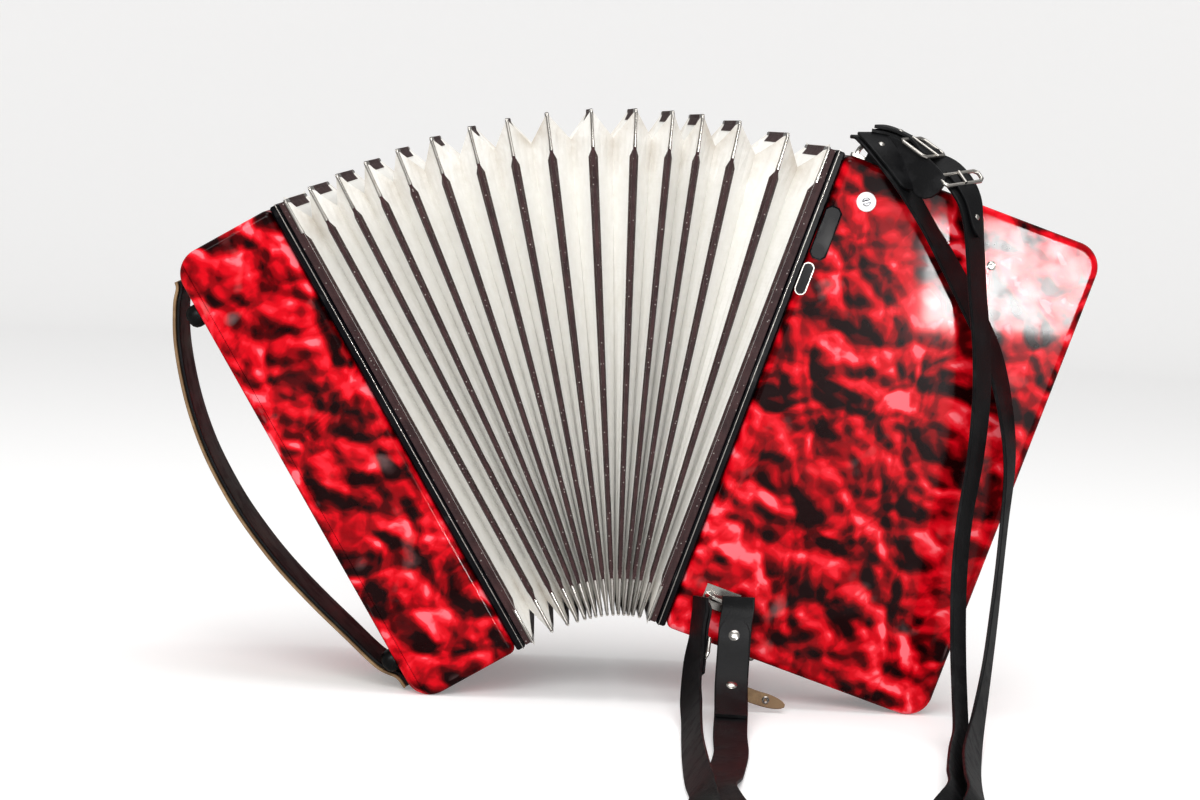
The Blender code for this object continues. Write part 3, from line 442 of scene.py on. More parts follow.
def crumpled(where):
    """The height of the crumpled sheet."""
    moved = warped(where)
    height = times(marbling, noise(marbling, moved, sized(1.3), 3.0, Distortion=0.8), NOISE_SHARE)
    for size, share in CELL_SHARES:
        cells = node(marbling, "ShaderNodeTexVoronoi", Vector=moved, Scale=sized(size), feature="SMOOTH_F1")
        cells.inputs["Smoothness"].default_value = CELL_SOFTNESS
        height = plus(marbling, height, times(marbling, cells.outputs["Distance"], share))
    return height


ahead = crumpled(vectors("ADD", given["Vector"], SLOPE_STEP))
behind = crumpled(vectors("SUBTRACT", given["Vector"], SLOPE_STEP))
slope = times(marbling, sums(marbling, "SUBTRACT", ahead, behind), given["Contrast"])
patches = noise(marbling, given["Vector"], 13.0, 3.0, Roughness=0.6)
level = spread(marbling, patches, 0.3, 0.7, 0.36, 0.66)
feeds(marbling, gives, Pearl=sums(marbling, "ADD", slope, level, clamp=True))
print("group", marbling.name, len(marbling.nodes), "nodes")

# %% [markdown]
# ### Cloth weave
# Bellows cloth is a plain weave: threads run along two directions and pass over each other in turn.
# Two crossed sine waves make the threads, and a soft noise makes some of them thicker.

# %% Cloth weave
weave, given, gives = group("cloth weave", {"Threads": 1800.0}, ("Height", "Slub"))
split = node(weave, "ShaderNodeSeparateXYZ", Vector=given["Vector"]).outputs
woven = 0.0
for way in (split["Z"], plus(weave, split["X"], split["Y"])):
    woven = plus(weave, woven, sums(weave, "SINE", times(weave, way, given["Threads"])))
height = plus(weave, times(weave, woven, 0.25), 0.5)
feeds(weave, gives, Height=height, Slub=noise(weave, given["Vector"], 160.0, 3.0))
print("group", weave.name, len(weave.nodes), "nodes")

# %% [markdown]
# ### Leather grain
# Leather has small rounded pebbles with creases between them, and larger soft folds where it bends.
# The distance to a Voronoi cell's middle gives the pebbles, and a noise the folds.

# %% Leather grain
grain, given, gives = group("leather grain", {"Scale": 900.0}, ("Height", "Rubbed"))
where = given["Vector"]
pebbles = node(grain, "ShaderNodeTexVoronoi", Vector=where, Scale=given["Scale"], feature="SMOOTH_F1")
folds = noise(grain, where, 70.0, 5.0, Roughness=0.65)
height = plus(grain, times(grain, pebbles.outputs["Distance"], -0.4), folds)
feeds(grain, gives, Height=height, Rubbed=spread(grain, folds, 0.48, 0.72))
print("group", grain.name, len(grain.nodes), "nodes")

# %% [markdown]
# ## Finishes
# The red pearl covering shows near-black creases, deep red and bright flame-like highlights under
# a clear polished coat. The coat carries the sharp reflections, so its scratches go there.

# %% Red pearl covering
PEARL_SHADES = (
    (0.12, (0.008, 0.0, 0.0003)),
    (0.30, (0.065, 0.0, 0.0008)),
    (0.48, (0.26, 0.0003, 0.003)),
    (0.68, (0.61, 0.0015, 0.008)),
    (0.86, (0.84, 0.018, 0.032)),
    (1.00, (0.95, 0.15, 0.18)),
)
red_pearl, tree, shader, where = finish("red_pearl", Coat_Roughness=0.05, Specular_IOR_Level=0.04)
pearl = placed(tree, marbling, where, Scale=38.0, Warp=0.028, Contrast=1.45)
marks = placed(tree, handling, where, Hairlines=0.8, Dullness=0.1, Roughness=0.24)
colour = ramp(tree, pearl["Pearl"], PEARL_SHADES)
colour = mixed(tree, times(tree, marks["Marks"], 0.3), colour, (0.75, 0.45, 0.45))
shine = spread(tree, noise(tree, where, 48.0, 5.0, Roughness=0.65), 0.42, 0.64, 0.24, 0.08)
shine = times(tree, shine, spread(tree, marks["Marks"], 0, 0.6, 1, 0.1))
feeds(tree, shader, Base_Color=colour, Roughness=marks["Roughness"], Coat_Weight=shine)
print("finish", red_pearl.name)

# %% [markdown]
# The bellows frames and the bare plates are black lacquer: nearly black, glossy, lightly scratched.

# %% Black lacquer, ivory and black key plastic
def polished(name, colour, roughness, hairlines, **fixed):
    """A plain polished plastic or lacquer with handling marks."""
    made, tree, shader, where = finish(name, **fixed)
    marks = placed(tree, handling, where, Hairlines=hairlines, Dullness=0.12, Roughness=roughness)
    paler = tuple(min(1, c * 1.25 + 0.004) for c in colour)
    shade = mixed(tree, spread(tree, noise(tree, where, 30.0, 3.0), 0.35, 0.7), colour, paler)
    shade = mixed(tree, times(tree, marks["Marks"], 0.4), shade, (0.5, 0.48, 0.46))
    feeds(tree, shader, Base_Color=shade, Roughness=marks["Roughness"])
    return made


black_lacquer = polished("black_lacquer", (0.0, 0.0, 0.001), 0.2, 0.5, Specular_IOR_Level=0.14)
ivory = polished("ivory_plastic", (0.80, 0.76, 0.66), 0.2, 0.15, Coat_Weight=0.4, Coat_Roughness=0.1)
white_plastic = polished("white_plastic", (0.86, 0.86, 0.85), 0.25, 0.2)
EBONY = (0.010, 0.010, 0.012)
ebony = polished("black_key_plastic", EBONY, 0.22, 0.5, Coat_Weight=0.3, Coat_Roughness=0.15)
rubber = polished("black_foot", (0.0, 0.0, 0.0), 0.3, 0.4, Specular_IOR_Level=0.2)
print("finishes", [m.name for m in (black_lacquer, ivory, white_plastic, ebony, rubber)])

# %% [markdown]
# Nickel plate is a metal, so its colour is its reflection. Handling leaves it duller in patches,
# with a little brown tarnish.

# %% Nickel and steel
def plated(name, colour, roughness, tarnish):
    made, tree, shader, where = finish(name, Metallic=1.0)
    marks = placed(tree, handling, where, Hairlines=0.6, Dullness=0.2, Roughness=roughness)
    spots = noise(tree, where, 260.0, 5.0, Roughness=0.7)
    brown = times(tree, spread(tree, spots, 0.55, 0.75), tarnish)
    shade = mixed(tree, brown, colour, (0.28, 0.20, 0.12))
    relief = bump(tree, spots, 0.15, 0.0002)
    feeds(tree, shader, Base_Color=shade, Roughness=marks["Roughness"], Normal=relief)
    return made


nickel = plated("nickel", (0.50, 0.475, 0.44), 0.2, 0.5)
steel = plated("steel_rod", (0.55, 0.55, 0.57), 0.3, 0.3)
print("finishes", nickel.name, steel.name)


def nickelled(obj, body="treble_side"):
    return dress(obj, nickel, body, "chrome")


# %% [markdown]
# The bellows cloth is cream, a little yellower and dirtier in the folds and at the corners. The
# dark tape over each ridge is a fine-ribbed cloth with a row of tiny pale stitches.

# %% Bellows cloth and tape
CREAM_SHEEN = {"Sheen_Weight": 0.2, "Sheen_Roughness": 0.5}
cream_cloth, tree, shader, where = finish("cream_cloth", Specular_IOR_Level=0.2, **CREAM_SHEEN)
cloth = placed(tree, weave, where, Threads=2600.0)
stain = noise(tree, where, 34.0, 6.0, Roughness=0.65)
at_corner = node(tree, "ShaderNodeAttribute", attribute_name="mark").outputs["Fac"]
shade = mixed(tree, spread(tree, cloth["Slub"], 0.3, 0.7), (0.88, 0.865, 0.82), (0.93, 0.92, 0.885))
shade = mixed(tree, spread(tree, stain, 0.58, 0.8, 0, 0.2), shade, (0.70, 0.63, 0.50))
dirty = times(tree, at_corner, spread(tree, stain, 0.38, 0.66, 0.1, 0.75))
shade = mixed(tree, dirty, shade, (0.50, 0.44, 0.36))
rough, relief = spread(tree, cloth["Slub"], 0.2, 0.8, 0.6, 0.8), bump(tree, cloth["Height"], 0.25, 0.0003)
feeds(tree, shader, Base_Color=shade, Roughness=rough, Normal=relief)

maroon_tape, tree, shader, where = finish("maroon_tape", Specular_IOR_Level=0.2)
cloth = placed(tree, weave, where, Threads=3600.0)
worn = spread(tree, noise(tree, where, 90.0, 5.0, Roughness=0.7), 0.35, 0.75)
stitch = node(tree, "ShaderNodeTexVoronoi", Vector=where, Scale=330.0).outputs["Distance"]
shade = mixed(tree, worn, (0.026, 0.0085, 0.0095), (0.058, 0.022, 0.022))
shade = mixed(tree, spread(tree, stitch, 0.10, 0.16, 0.5, 0), shade, (0.60, 0.54, 0.50))
rough, relief = spread(tree, cloth["Slub"], 0.2, 0.8, 0.42, 0.65), bump(tree, cloth["Height"], 0.35, 0.0003)
feeds(tree, shader, Base_Color=shade, Roughness=rough, Normal=relief)
print("finishes", cream_cloth.name, maroon_tape.name)

# %% [markdown]
# The straps are black leather with a grey bloom where they bend. Their cut edges are greyer, and
# the hand strap's outside is a brown hide. The reed blocks are spruce.

# %% Leathers and wood
def hide(name, colour, rubbed_colour, roughness, scale):
    made, tree, shader, where = finish(name, Specular_IOR_Level=0.18)
    skin = placed(tree, grain, where, Scale=scale)
    shade = mixed(tree, skin["Rubbed"], colour, rubbed_colour)
    rough = spread(tree, skin["Rubbed"], 0, 1, roughness, roughness + 0.2)
    feeds(tree, shader, Base_Color=shade, Roughness=rough, Normal=bump(tree, skin["Height"], 0.5, 0.0004))
    return made


black_leather = hide("black_leather", (0.003, 0.003, 0.0035), (0.010, 0.010, 0.011), 0.45, 1100.0)
brown_leather = hide("brown_leather", (0.20, 0.12, 0.06), (0.34, 0.23, 0.12), 0.6, 1100.0)
cut_edge = hide("cut_leather_edge", (0.065, 0.060, 0.060), (0.16, 0.15, 0.145), 0.55, 1500.0)

spruce, tree, shader, where = finish("spruce", Roughness=0.6)
rings = node(tree, "ShaderNodeTexWave", Vector=where, Scale=260.0, Distortion=3.0, Detail=3.0).outputs["Fac"]
shade = mixed(tree, rings, (0.60, 0.42, 0.22), (0.72, 0.54, 0.32))
feeds(tree, shader, Base_Color=shade, Normal=bump(tree, rings, 0.2, 0.0002))
print("finishes", black_leather.name, brown_leather.name, cut_edge.name, spruce.name)

# %% [markdown]
# ## Solids that stay
# The keys, the axle, the frames, the reed blocks and the brackets already have the right shape, so
# they keep their solids and only get a finish.

# %% Solids that stay
STAYING = {
    "white_key": ivory,
    "black_key": ebony,
    "key_axle": steel,
    "treble_bellows_frame": black_lacquer,
    "bass_bellows_frame": black_lacquer,
    "treble_reed_block": spruce,
    "bass_reed_block": spruce,
    "upper_strap_bracket": nickel,
    "lower_strap_bracket": nickel,
}
for name, solid in nodes.items():
    for start, made in STAYING.items():
        if name.startswith(start):
            solid.data.materials.clear()
            solid.data.materials.append(made)
print("refinished the keys, the axle, the frames, the reed blocks and the brackets")

# %% [markdown]
# ## Casings
# A casing is a thin wooden box covered in pearl sheet, which wraps its rounded corners without a
# seam. The solids have few facets, and a glossy surface shows each of them, so the shells are made
# again here with the same outline and finer arcs, then cut and rounded in the same order.

# %% Outline of a casing
def arc(centre, radius, start, end, steps):
    turns = [math.radians(start + (end - start) * k / steps) for k in range(steps + 1)]
    return [(centre[0] + radius * math.cos(a), centre[1] + radius * math.sin(a)) for a in turns]


def panel_outline(near, far):
    """Square where the bellows is, round-cornered at the outer side."""
    side = 1 if far > near else -1
    inner = far - side * CORNER
    low = arc((inner, CORNER), CORNER, 270, 270 + 90 * side, 16)
    high = arc((inner, HEIGHT - CORNER), CORNER, 90 - 90 * side, 90, 16)
    return [(near, 0)] + low + high + [(near, HEIGHT)]


# %% Treble casing
CHAMBER = 58 * MM
KEY_BED, KEY_BED_FLOOR, KEY_CHEEK = 48 * MM, 5 * MM, 21 * MM
KEY_CLEARANCE, KEY_DIP, KEY_THICKNESS = 1.6, 4.2, 11
KEY_TOP = KEY_BED + (KEY_CLEARANCE + KEY_DIP + KEY_THICKNESS) * MM
AXLE = (CHAMBER + 8.8 * MM, KEY_TOP - 5.5 * MM)
AXLE_RADIUS, AXLE_END = 1.8 * MM, 10 * MM

# A cut reaches this far where it only has to pass beyond the piece
BEYOND = 0.2
shell = raised(panel_outline(FRAME_THICKNESS + GAP, TREBLE_WIDTH), "y", 0, DEPTH, "treble_shell")
side = [(0, -WALL), (BEYOND, -WALL), (BEYOND, KEY_TOP), (CHAMBER, KEY_TOP), (CHAMBER, BEYOND), (0, BEYOND)]
crossed(shell, raised(side, "z", -WALL, HEIGHT + WALL), "INTERSECT")
rounded(shell, EDGE, 4)
hollow = [(0, WALL), (TREBLE_WIDTH - WALL, WALL), (TREBLE_WIDTH - WALL, KEY_BED - KEY_BED_FLOOR)]
hollow += [(CHAMBER - WALL, KEY_BED - KEY_BED_FLOOR), (CHAMBER - WALL, DEPTH - WALL), (0, DEPTH - WALL)]
crossed(shell, raised(hollow, "z", 2 * WALL, HEIGHT - 2 * WALL))
crossed(shell, block((CHAMBER, KEY_BED, KEY_CHEEK), (BEYOND, BEYOND, HEIGHT - KEY_CHEEK)))
axle_hole = arc(AXLE, AXLE_RADIUS, 0, 345, 23)
crossed(shell, raised(axle_hole, "z", KEY_CHEEK - AXLE_END, HEIGHT - KEY_CHEEK + AXLE_END))
shell.data.transform(treble)
dress(smooth(shell), red_pearl, "treble_side", "red_pearloid", "treble_casing")
print(shell.name, len(shell.data.polygons), "faces")

# %% Bass casing and end cover
near, split_at = -(FRAME_THICKNESS + GAP), -69 * MM
reed_wall = near - 32 * MM
low, high = (WALL, 2 * WALL), (DEPTH - WALL, HEIGHT - 2 * WALL)
outline = panel_outline(near, -BASS_WIDTH)
shell = rounded(raised(outline, "y", 0, DEPTH, "bass_shell"), EDGE, 4)
cover = rounded(raised(outline, "y", 0, DEPTH, "bass_cover_shell"), EDGE, 4)
crossed(shell, block((-BEYOND, -WALL, -WALL), (split_at + GAP, BEYOND, 2 * BEYOND)))
crossed(shell, block((reed_wall, *low), (WALL, *high)))
crossed(shell, block((-BEYOND, *low), (reed_wall - WALL, *high)))
crossed(cover, block((split_at, -WALL, -WALL), (WALL, BEYOND, 2 * BEYOND)))

ROW_FROM_FRONT, ROW_PITCH, ROW_SHIFT = 20 * MM, 17 * MM, 4.75 * MM
BUTTON_PITCH, BUTTON_HOLE = 19 * MM, 3.3 * MM
buttons = {}
for number in range(8):
    row, k = divmod(number, 4)
    z = HEIGHT / 2 + (k - 1.5) * BUTTON_PITCH + row * ROW_SHIFT
    buttons[f"bass_button_{number + 1}"] = (DEPTH - ROW_FROM_FRONT - row * ROW_PITCH, z)
buttons["air_button"] = (DEPTH - 40 * MM, 250 * MM)
for y, z in buttons.values():
    hole = raised(arc((0, 0), BUTTON_HOLE, 0, 345, 23), "z", 0, BASS_WIDTH)
    hole.data.transform(Matrix.Translation((-1.5 * BASS_WIDTH, y, z)) @ Matrix.Rotation(math.pi / 2, 4, "Y"))
    crossed(cover, hole)
for piece, name in ((shell, "bass_casing"), (cover, "bass_end_cover")):
    piece.data.transform(bass)
    dress(smooth(piece), red_pearl, "bass_side", "red_pearloid", name)
    print(piece.name, len(piece.data.polygons), "faces")

# %% [markdown]
# ## Grille
# The grille covers the valves on the far side, which the audience sees. It is a curved shell with
# nine slots that let the sound out.

# %% Grille
GRILLE_REACH, GRILLE_WALL, SLOTS, SLOT_RADIUS = 30 * MM, 2.5 * MM, 9, 4.5 * MM
grille_low, grille_near = KEY_TOP + 1.5 * MM, CHAMBER + GAP


def grille_section(inset):
    """Flat in front of the chamber, then a soft curve down to the keys."""
    across, rise = GRILLE_REACH - GAP - inset, DEPTH - inset - grille_low
    points = [(grille_near, grille_low)]
    for k in range(33):
        a = math.pi / 2 * k / 32
        points.append((grille_near + across * math.cos(a) ** 0.7, grille_low + rise * math.sin(a) ** 0.7))
    return points


grille = raised(grille_section(0), "z", 0, HEIGHT, "grille_shell")
rounded(grille, 1.2 * MM, 3, 50)
inner = grille_section(GRILLE_WALL)
inner = [(inner[1][0], grille_low - WALL)] + inner[2:]
inner += [(grille_near - WALL, inner[-1][1]), (grille_near - WALL, grille_low - WALL)]
crossed(grille, raised(inner, "z", GRILLE_WALL, HEIGHT - GRILLE_WALL))
slot_middle, slot_reach = (grille_low + DEPTH) / 2, (DEPTH - grille_low) / 4 - SLOT_RADIUS
sideways = Matrix(((0, 0, 1, grille_near + WALL), (1, 0, 0, 0), (0, 1, 0, 0), (0, 0, 0, 1)))
for k in range(SLOTS):
    z = KEY_CHEEK + (k + 0.5) * (HEIGHT - 2 * KEY_CHEEK) / SLOTS
    ends = arc((slot_middle - slot_reach, z), SLOT_RADIUS, 90, 270, 8)
    ends += arc((slot_middle + slot_reach, z), SLOT_RADIUS, 270, 450, 8)
    slot = raised(ends, "z", 0, 2 * GRILLE_REACH)
    slot.data.transform(sideways)
    crossed(grille, slot)
grille.data.transform(treble)
dress(smooth(grille), red_pearl, "treble_side", "red_pearloid", "treble_grille")
print(grille.name, len(grille.data.polygons), "faces")

# %% [markdown]
# ## Bellows
# Each fold is a pair of stiff panels hinged at a ridge. Dark tape covers the ridge and a nickel cap
# its corners, and cream cloth covers the panels down to the valley between two folds. At rest the
# folds stand in a fan, so their gaps are wide at the top and close to nothing at the bottom.
# A fold's valley edges overlap the next fold's inside, so that no slit opens when the bellows is
# pulled a little further.

# %% The ridges' places
class Ridge:
    """A fold's plane: its lower end, its lean, and the ways across and up."""

    def __init__(self, centre, lean):
        self.lean = lean
        self.across = Vector((math.cos(lean), 0, -math.sin(lean)))
        self.up = Vector((math.sin(lean), 0, math.cos(lean)))
        self.foot = centre - self.up * HEIGHT / 2

    def at(self, a, y, z):
        """A point in the room: a across, y from the back, z up from the lower end."""
        return self.foot + self.across * a + Vector((0, y, 0)) + self.up * z


END_RIDGE = 4.5 * MM
shares = {c["joint"]: c["ratio"] for c in frame["record"]["behaviour"]["couplings"]}
ridges = [Ridge(treble @ Vector((-END_RIDGE, 0, HEIGHT / 2)), TREBLE_LEAN)]
for k in range(1, 15):
    low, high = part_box(f"ridge_{k:02d}")
    centre = (low + high) / 2
    centre.y = SHIFT.y
    ridges.append(Ridge(centre, TREBLE_LEAN - shares[f"ridge_{k:02d}_turn"] * FAN))
ridges.append(Ridge(bass @ Vector((END_RIDGE, 0, HEIGHT / 2)), -BASS_LEAN))
bodies = ["treble_side"] + [f"ridge_{k:02d}_body" for k in range(1, 15)] + ["bass_side"]
tops = [ridge.at(0, 0, HEIGHT) for ridge in ridges]
print("ridges' gaps at the top", [round((a - b).length / MM) for a, b in zip(tops, tops[1:])])

# %% [markdown]
# ### Folds
# A fold is a sheet through a stack of rings: lap, valley, panel, ridge, and the same again on the
# other side. A ring has three points at each corner, because a separate gusset of cloth is let in
# there. The gusset stands further out at the valley than the panels do, so its middle is an
# attribute of the sheet too, where the cloth is dirtier.

# %% Rings round a fold
FOLD_DEPTH, CLOSED_PITCH = 28 * MM, 3.4 * MM
GUSSET_LEG, GUSSET_DEPTH = 22 * MM, 18 * MM
FLAT_REACH, FLAT_CORNER, RIDGE_INSET = 2.5 * MM, 1.6 * MM, 0.5 * MM
LAP_DEPTH, VALLEY_LAP = 3 * MM, 1.4
CLOTH_HALF, CLOTH_THICKNESS = 0.6 * MM, 0.3 * MM
GUSSET_MIDDLES = (1, 4, 7, 10)


def valley(one, other):
    """The plane half way between two ridges."""
    middle = (one.at(0, 0, HEIGHT / 2) + other.at(0, 0, HEIGHT / 2)) / 2
    return Ridge(middle, (one.lean + other.lean) / 2)


def ring_points(plane, a, inset, corner):
    """Twelve points round a fold: a gusset's two ends and its middle at each corner."""
    points = []
    for y, z in ((0, 0), (DEPTH, 0), (DEPTH, HEIGHT), (0, HEIGHT)):
        y_in, z_in = (1 if y == 0 else -1), (1 if z == 0 else -1)
        upright = plane.at(a, y + y_in * inset, z + z_in * (GUSSET_LEG + inset))
        middle = plane.at(a, y + y_in * corner, z + z_in * corner)
        level = plane.at(a, y + y_in * (GUSSET_LEG + inset), z + z_in * inset)
        points += [upright, middle, level] if y_in == z_in else [level, middle, upright]
    return points


def panel_rings(ridge, plane, half, shares):
    """Rings on the way from a ridge's flat zone down to the valley."""
    near_ring = ring_points(ridge, half, FLAT_REACH, FLAT_CORNER)
    valley_ring = ring_points(plane, 0, FOLD_DEPTH, GUSSET_DEPTH)
    return [[a.lerp(b, share) for a, b in zip(near_ring, valley_ring)] for share in shares]


def half_fold(ridge, plane, side):
    """A fold's rings from the ridge to the valley on one side, and the lap beyond it."""
    half = side * CLOTH_HALF
    rings = [ring_points(ridge, half, RIDGE_INSET, RIDGE_INSET)]
    rings += panel_rings(ridge, plane, half, (0, 0.35, 0.7, 1))
    flat = ring_points(ridge, 0, FOLD_DEPTH + LAP_DEPTH, GUSSET_DEPTH + LAP_DEPTH)
    lap = [a + (b - a).project(ridge.across) * VALLEY_LAP for a, b in zip(flat, rings[-1])]
    return rings + [lap]


def fold_rings(ridge, planes):
    """All rings of a fold. An end ridge has a flat ring in place of its missing half."""
    halves = {side: half_fold(ridge, plane, side) for side, plane in planes.items()}
    flat = [ring_points(ridge, 0, FLAT_REACH, FLAT_CORNER)]
    return halves.get(1, flat)[::-1] + halves.get(-1, flat)


def fold_keep(ridge, planes):
    """How flat a fold gets: half the closed pitch, over its widest half gap."""
    reaches = []
    for side, plane in planes.items():
        ring = ring_points(plane, 0, FOLD_DEPTH, GUSSET_DEPTH)
        reaches += [side * (point - ridge.foot).dot(ridge.across) for point in ring]
    return max(0.05, min(1, CLOSED_PITCH / 2 / max(reaches)))


# %% Folds
planes = []
for k, ridge in enumerate(ridges):
    sides = [side for side in (1, -1) if 0 <= k - side < len(ridges)]
    planes.append({side: valley(ridge, ridges[k - side]) for side in sides})
    rings = fold_rings(ridge, planes[k])
    bm = sheet_through(bmesh.new(), rings, closed=True, marked=GUSSET_MIDDLES)
    fold = thick(object_from(bm, f"fold_{k:02d}"), CLOTH_THICKNESS)
    dress(fold, cream_cloth, bodies[k], "cream_cloth", "bellows_skin")
    fold_keep(ridge, planes[k])
    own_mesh(fold)
print(len(ridges), "folds of cloth")

# %% [markdown]
# ### Ridge tape and end bands
# A tape is folded over each ridge in four strips, which stop short of the corners. The last ridges
# are joined to the frames by a flat band of the same tape, which doesn't fold.

# %% Ridge tape
TAPE_HALF, TAPE_THICKNESS, TAPE_REACH, TAPE_CREST = 0.95 * MM, 0.25 * MM, 6.8 * MM, 0.15 * MM
BAND_WIDTH, BAND_INSET = 4.2 * MM, 0.8 * MM
STRIP_STARTS = (2, 5, 8, 11)
BAND_START, TAPE_KEEP = 0.5 * MM, 0.4
END_BANDS = {0: (1, "end_band_treble"), 15: (-1, "end_band_bass")}
tape_share = (TAPE_REACH - FLAT_REACH) / (FOLD_DEPTH - FLAT_REACH)


def tape_half(ridge, planes, side):
    """Half a tape's rings, from the crest down the panel where there is one."""
    a = side * TAPE_HALF
    rings = [ring_points(ridge, a, TAPE_CREST, TAPE_CREST), ring_points(ridge, a, FLAT_REACH, FLAT_CORNER)]
    return rings + (panel_rings(ridge, planes[side], a, [tape_share]) if side in planes else [])


for k, ridge in enumerate(ridges):
    rings = tape_half(ridge, planes[k], 1)[::-1] + tape_half(ridge, planes[k], -1)
    bm = bmesh.new()
    for start in STRIP_STARTS:
        sheet_through(bm, [[ring[n % 12] for ring in rings] for n in (start, start + 1)])
    tape = thick(object_from(bm, f"tape_{k:02d}"), TAPE_THICKNESS)
    dress(tape, maroon_tape, bodies[k], "maroon_tape", *([f"ridge_{k:02d}"] if 0 < k < 15 else []))
    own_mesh(tape)
    if k in END_BANDS:
        out, name = END_BANDS[k]
        rings = [ring_points(ridge, out * a, BAND_INSET, BAND_INSET) for a in (BAND_START, BAND_WIDTH)]
        band = thick(object_from(sheet_through(bmesh.new(), rings, closed=True), name), TAPE_THICKNESS)
        dress(band, maroon_tape, bodies[k], "maroon_tape")
print(len(ridges), "tapes and two end bands")

# %% [markdown]
# ### Corner caps
# A cap is a narrow strip of thin nickel, pressed round the corner and down both sides, and a little
# wider at its two ends. It is a sheet through sections: two at each leg's end, and three where it
# turns the corner.

# %% Corner caps
CAP_HALF, CAP_FLARE, CAP_DEPTH, CAP_THICKNESS = 0.9 * MM, 1.15 * MM, 2.6 * MM, 0.12 * MM
CAP_LEG, CAP_NECK, CAP_BEND = 23 * MM, 17 * MM, 2 * MM
CAP_SECTION = ((-1, CAP_DEPTH), (-1, 0.3 * MM), (-0.5, -0.15 * MM))
CAP_SECTION += tuple((-share, depth) for share, depth in reversed(CAP_SECTION))


def cap_rows(ridge, y_in, z_in):
    """A cap's sections from the end of its upright leg to the end of its level one."""
    y, z = (0 if y_in > 0 else DEPTH), (0 if z_in > 0 else HEIGHT)
    stops = [(0, CAP_LEG, 1, 0, CAP_FLARE), (0, CAP_NECK, 1, 0, CAP_HALF), (0, CAP_BEND, 1, 0, CAP_HALF)]
    stops.append((0.3 * CAP_BEND, 0.3 * CAP_BEND, math.sqrt(0.5), math.sqrt(0.5), CAP_HALF))
    stops += [(up, over, up_in, over_in, half) for over, up, over_in, up_in, half in stops[2::-1]]
    rows = []
    for over, up, over_in, up_in, half in stops:
        ways = [(s * half, over + over_in * depth, up + up_in * depth) for s, depth in CAP_SECTION]
        rows.append([ridge.at(a, y + y_in * b, z + z_in * c) for a, b, c in ways])
    return rows


for k, ridge in enumerate(ridges):
    bm = bmesh.new()
    for y_in in (1, -1):
        for z_in in (1, -1):
            sheet_through(bm, cap_rows(ridge, y_in, z_in))
    caps = thick(object_from(bm, f"corner_caps_{k:02d}"), CAP_THICKNESS)
    nickelled(smooth(caps, 50), bodies[k])
print(len(ridges), "sets of four corner caps")

# %% [markdown]
# ## Straps
# A strap follows the route that its solid has. It is two hides glued back to back, so its section
# is a flat rectangle with slightly rounded edges, and the grey cut edge of the hides shows at its
# sides. The route is a smooth line through a few places, each with the way that the strap's width
# lies there. The first and last places are measured from the two brackets' feet.

# %% The straps' routes
ALONG_X, ALONG_Y, HALF_TURNED = (1, 0, 0), (0, 1, 0), (0.6, 0.8, 0)
STRAP_WIDTH, STRAP_THICKNESS, STRAP_LIFT = 20 * MM, 3 * MM, 0.5 * MM
UPPER_FOOT = treble @ Vector((22 * MM, 17 * MM, HEIGHT))
LOWER_FOOT = treble @ Vector((32 * MM, 0, 28 * MM))
STRAP_ONE_FROM_UPPER = (
    ((-2, 2, 15.3), ALONG_X), ((1, -9, 14), (1, 0.1, 0)), ((7, -20, 6), (0.9, 0.4, 0)),
    ((16, -28, -8), (0.6, 0.8, 0.1)), ((26, -30, -22), (0.45, 0.85, 0.25)),
    ((37, -30, -39), (0.4, 0.85, 0.25)), ((49, -29, -58), (0.5, 0.8, 0.3)),
    ((64, -29, -84), (0.6, 0.8, 0.3)), ((79, -29, -113), (0.6, 0.8, 0.2)),
    ((88, -31, -145), (0.5, 0.85, 0.1)),
)
STRAP_ONE_FREE = (
    ((209, -20, 160), (0.4, 0.9, 0)), ((207, -24, 121), (0.3, 0.95, 0)),
    ((202, -40, 75), (0.3, 0.95, 0)), ((195, -68, 41), (0.3, 0.8, -0.5)),
    ((186, -106, 16), (0.35, 0.4, -0.85)), ((178, -150, 10), (0.4, 0, -0.9)),
    ((170, -201, 9), (0.5, 0, -0.85)), ((164, -255, 8), (0.55, 0, -0.83)),
    ((161, -298, 7), (0.6, -0.1, -0.7)), ((151, -331, 3), (0.8, -0.6, -0.2)),
    ((128, -345, 2), (0.2, -1, 0)), ((92, -346.8, 2), (0, -1, 0)), ((58, -346, 2), (-0.2, -1, 0)),
    ((30, -337, 2), (-0.7, -0.7, 0)), ((16, -312, 5), (-0.9, -0.3, -0.4)),
)
STRAP_ONE_TO_LOWER = (
    ((-23, -280, -58), (-0.55, 0, -0.83)), ((-23.7, -245, -58), (-0.55, 0, -0.83)),
    ((-23.1, -188, -57.7), (-0.5, 0, -0.85)), ((-21, -130, -57.5), (-0.5, 0, -0.85)),
    ((-19, -84, -55), (-0.5, 0.3, -0.8)), ((-18.6, -56, -47), (-0.5, 0.6, -0.6)),
    ((-16.5, -34, -30), (-0.45, 0.85, -0.3)), ((-14.5, -24, -16), (-0.3, 1, -0.1)),
    ((-13.1, -18, -5.3), (-0.35, 0.93, 0)), ((-13.1, -17, 3.7), (-0.35, 0.93, 0)),
)
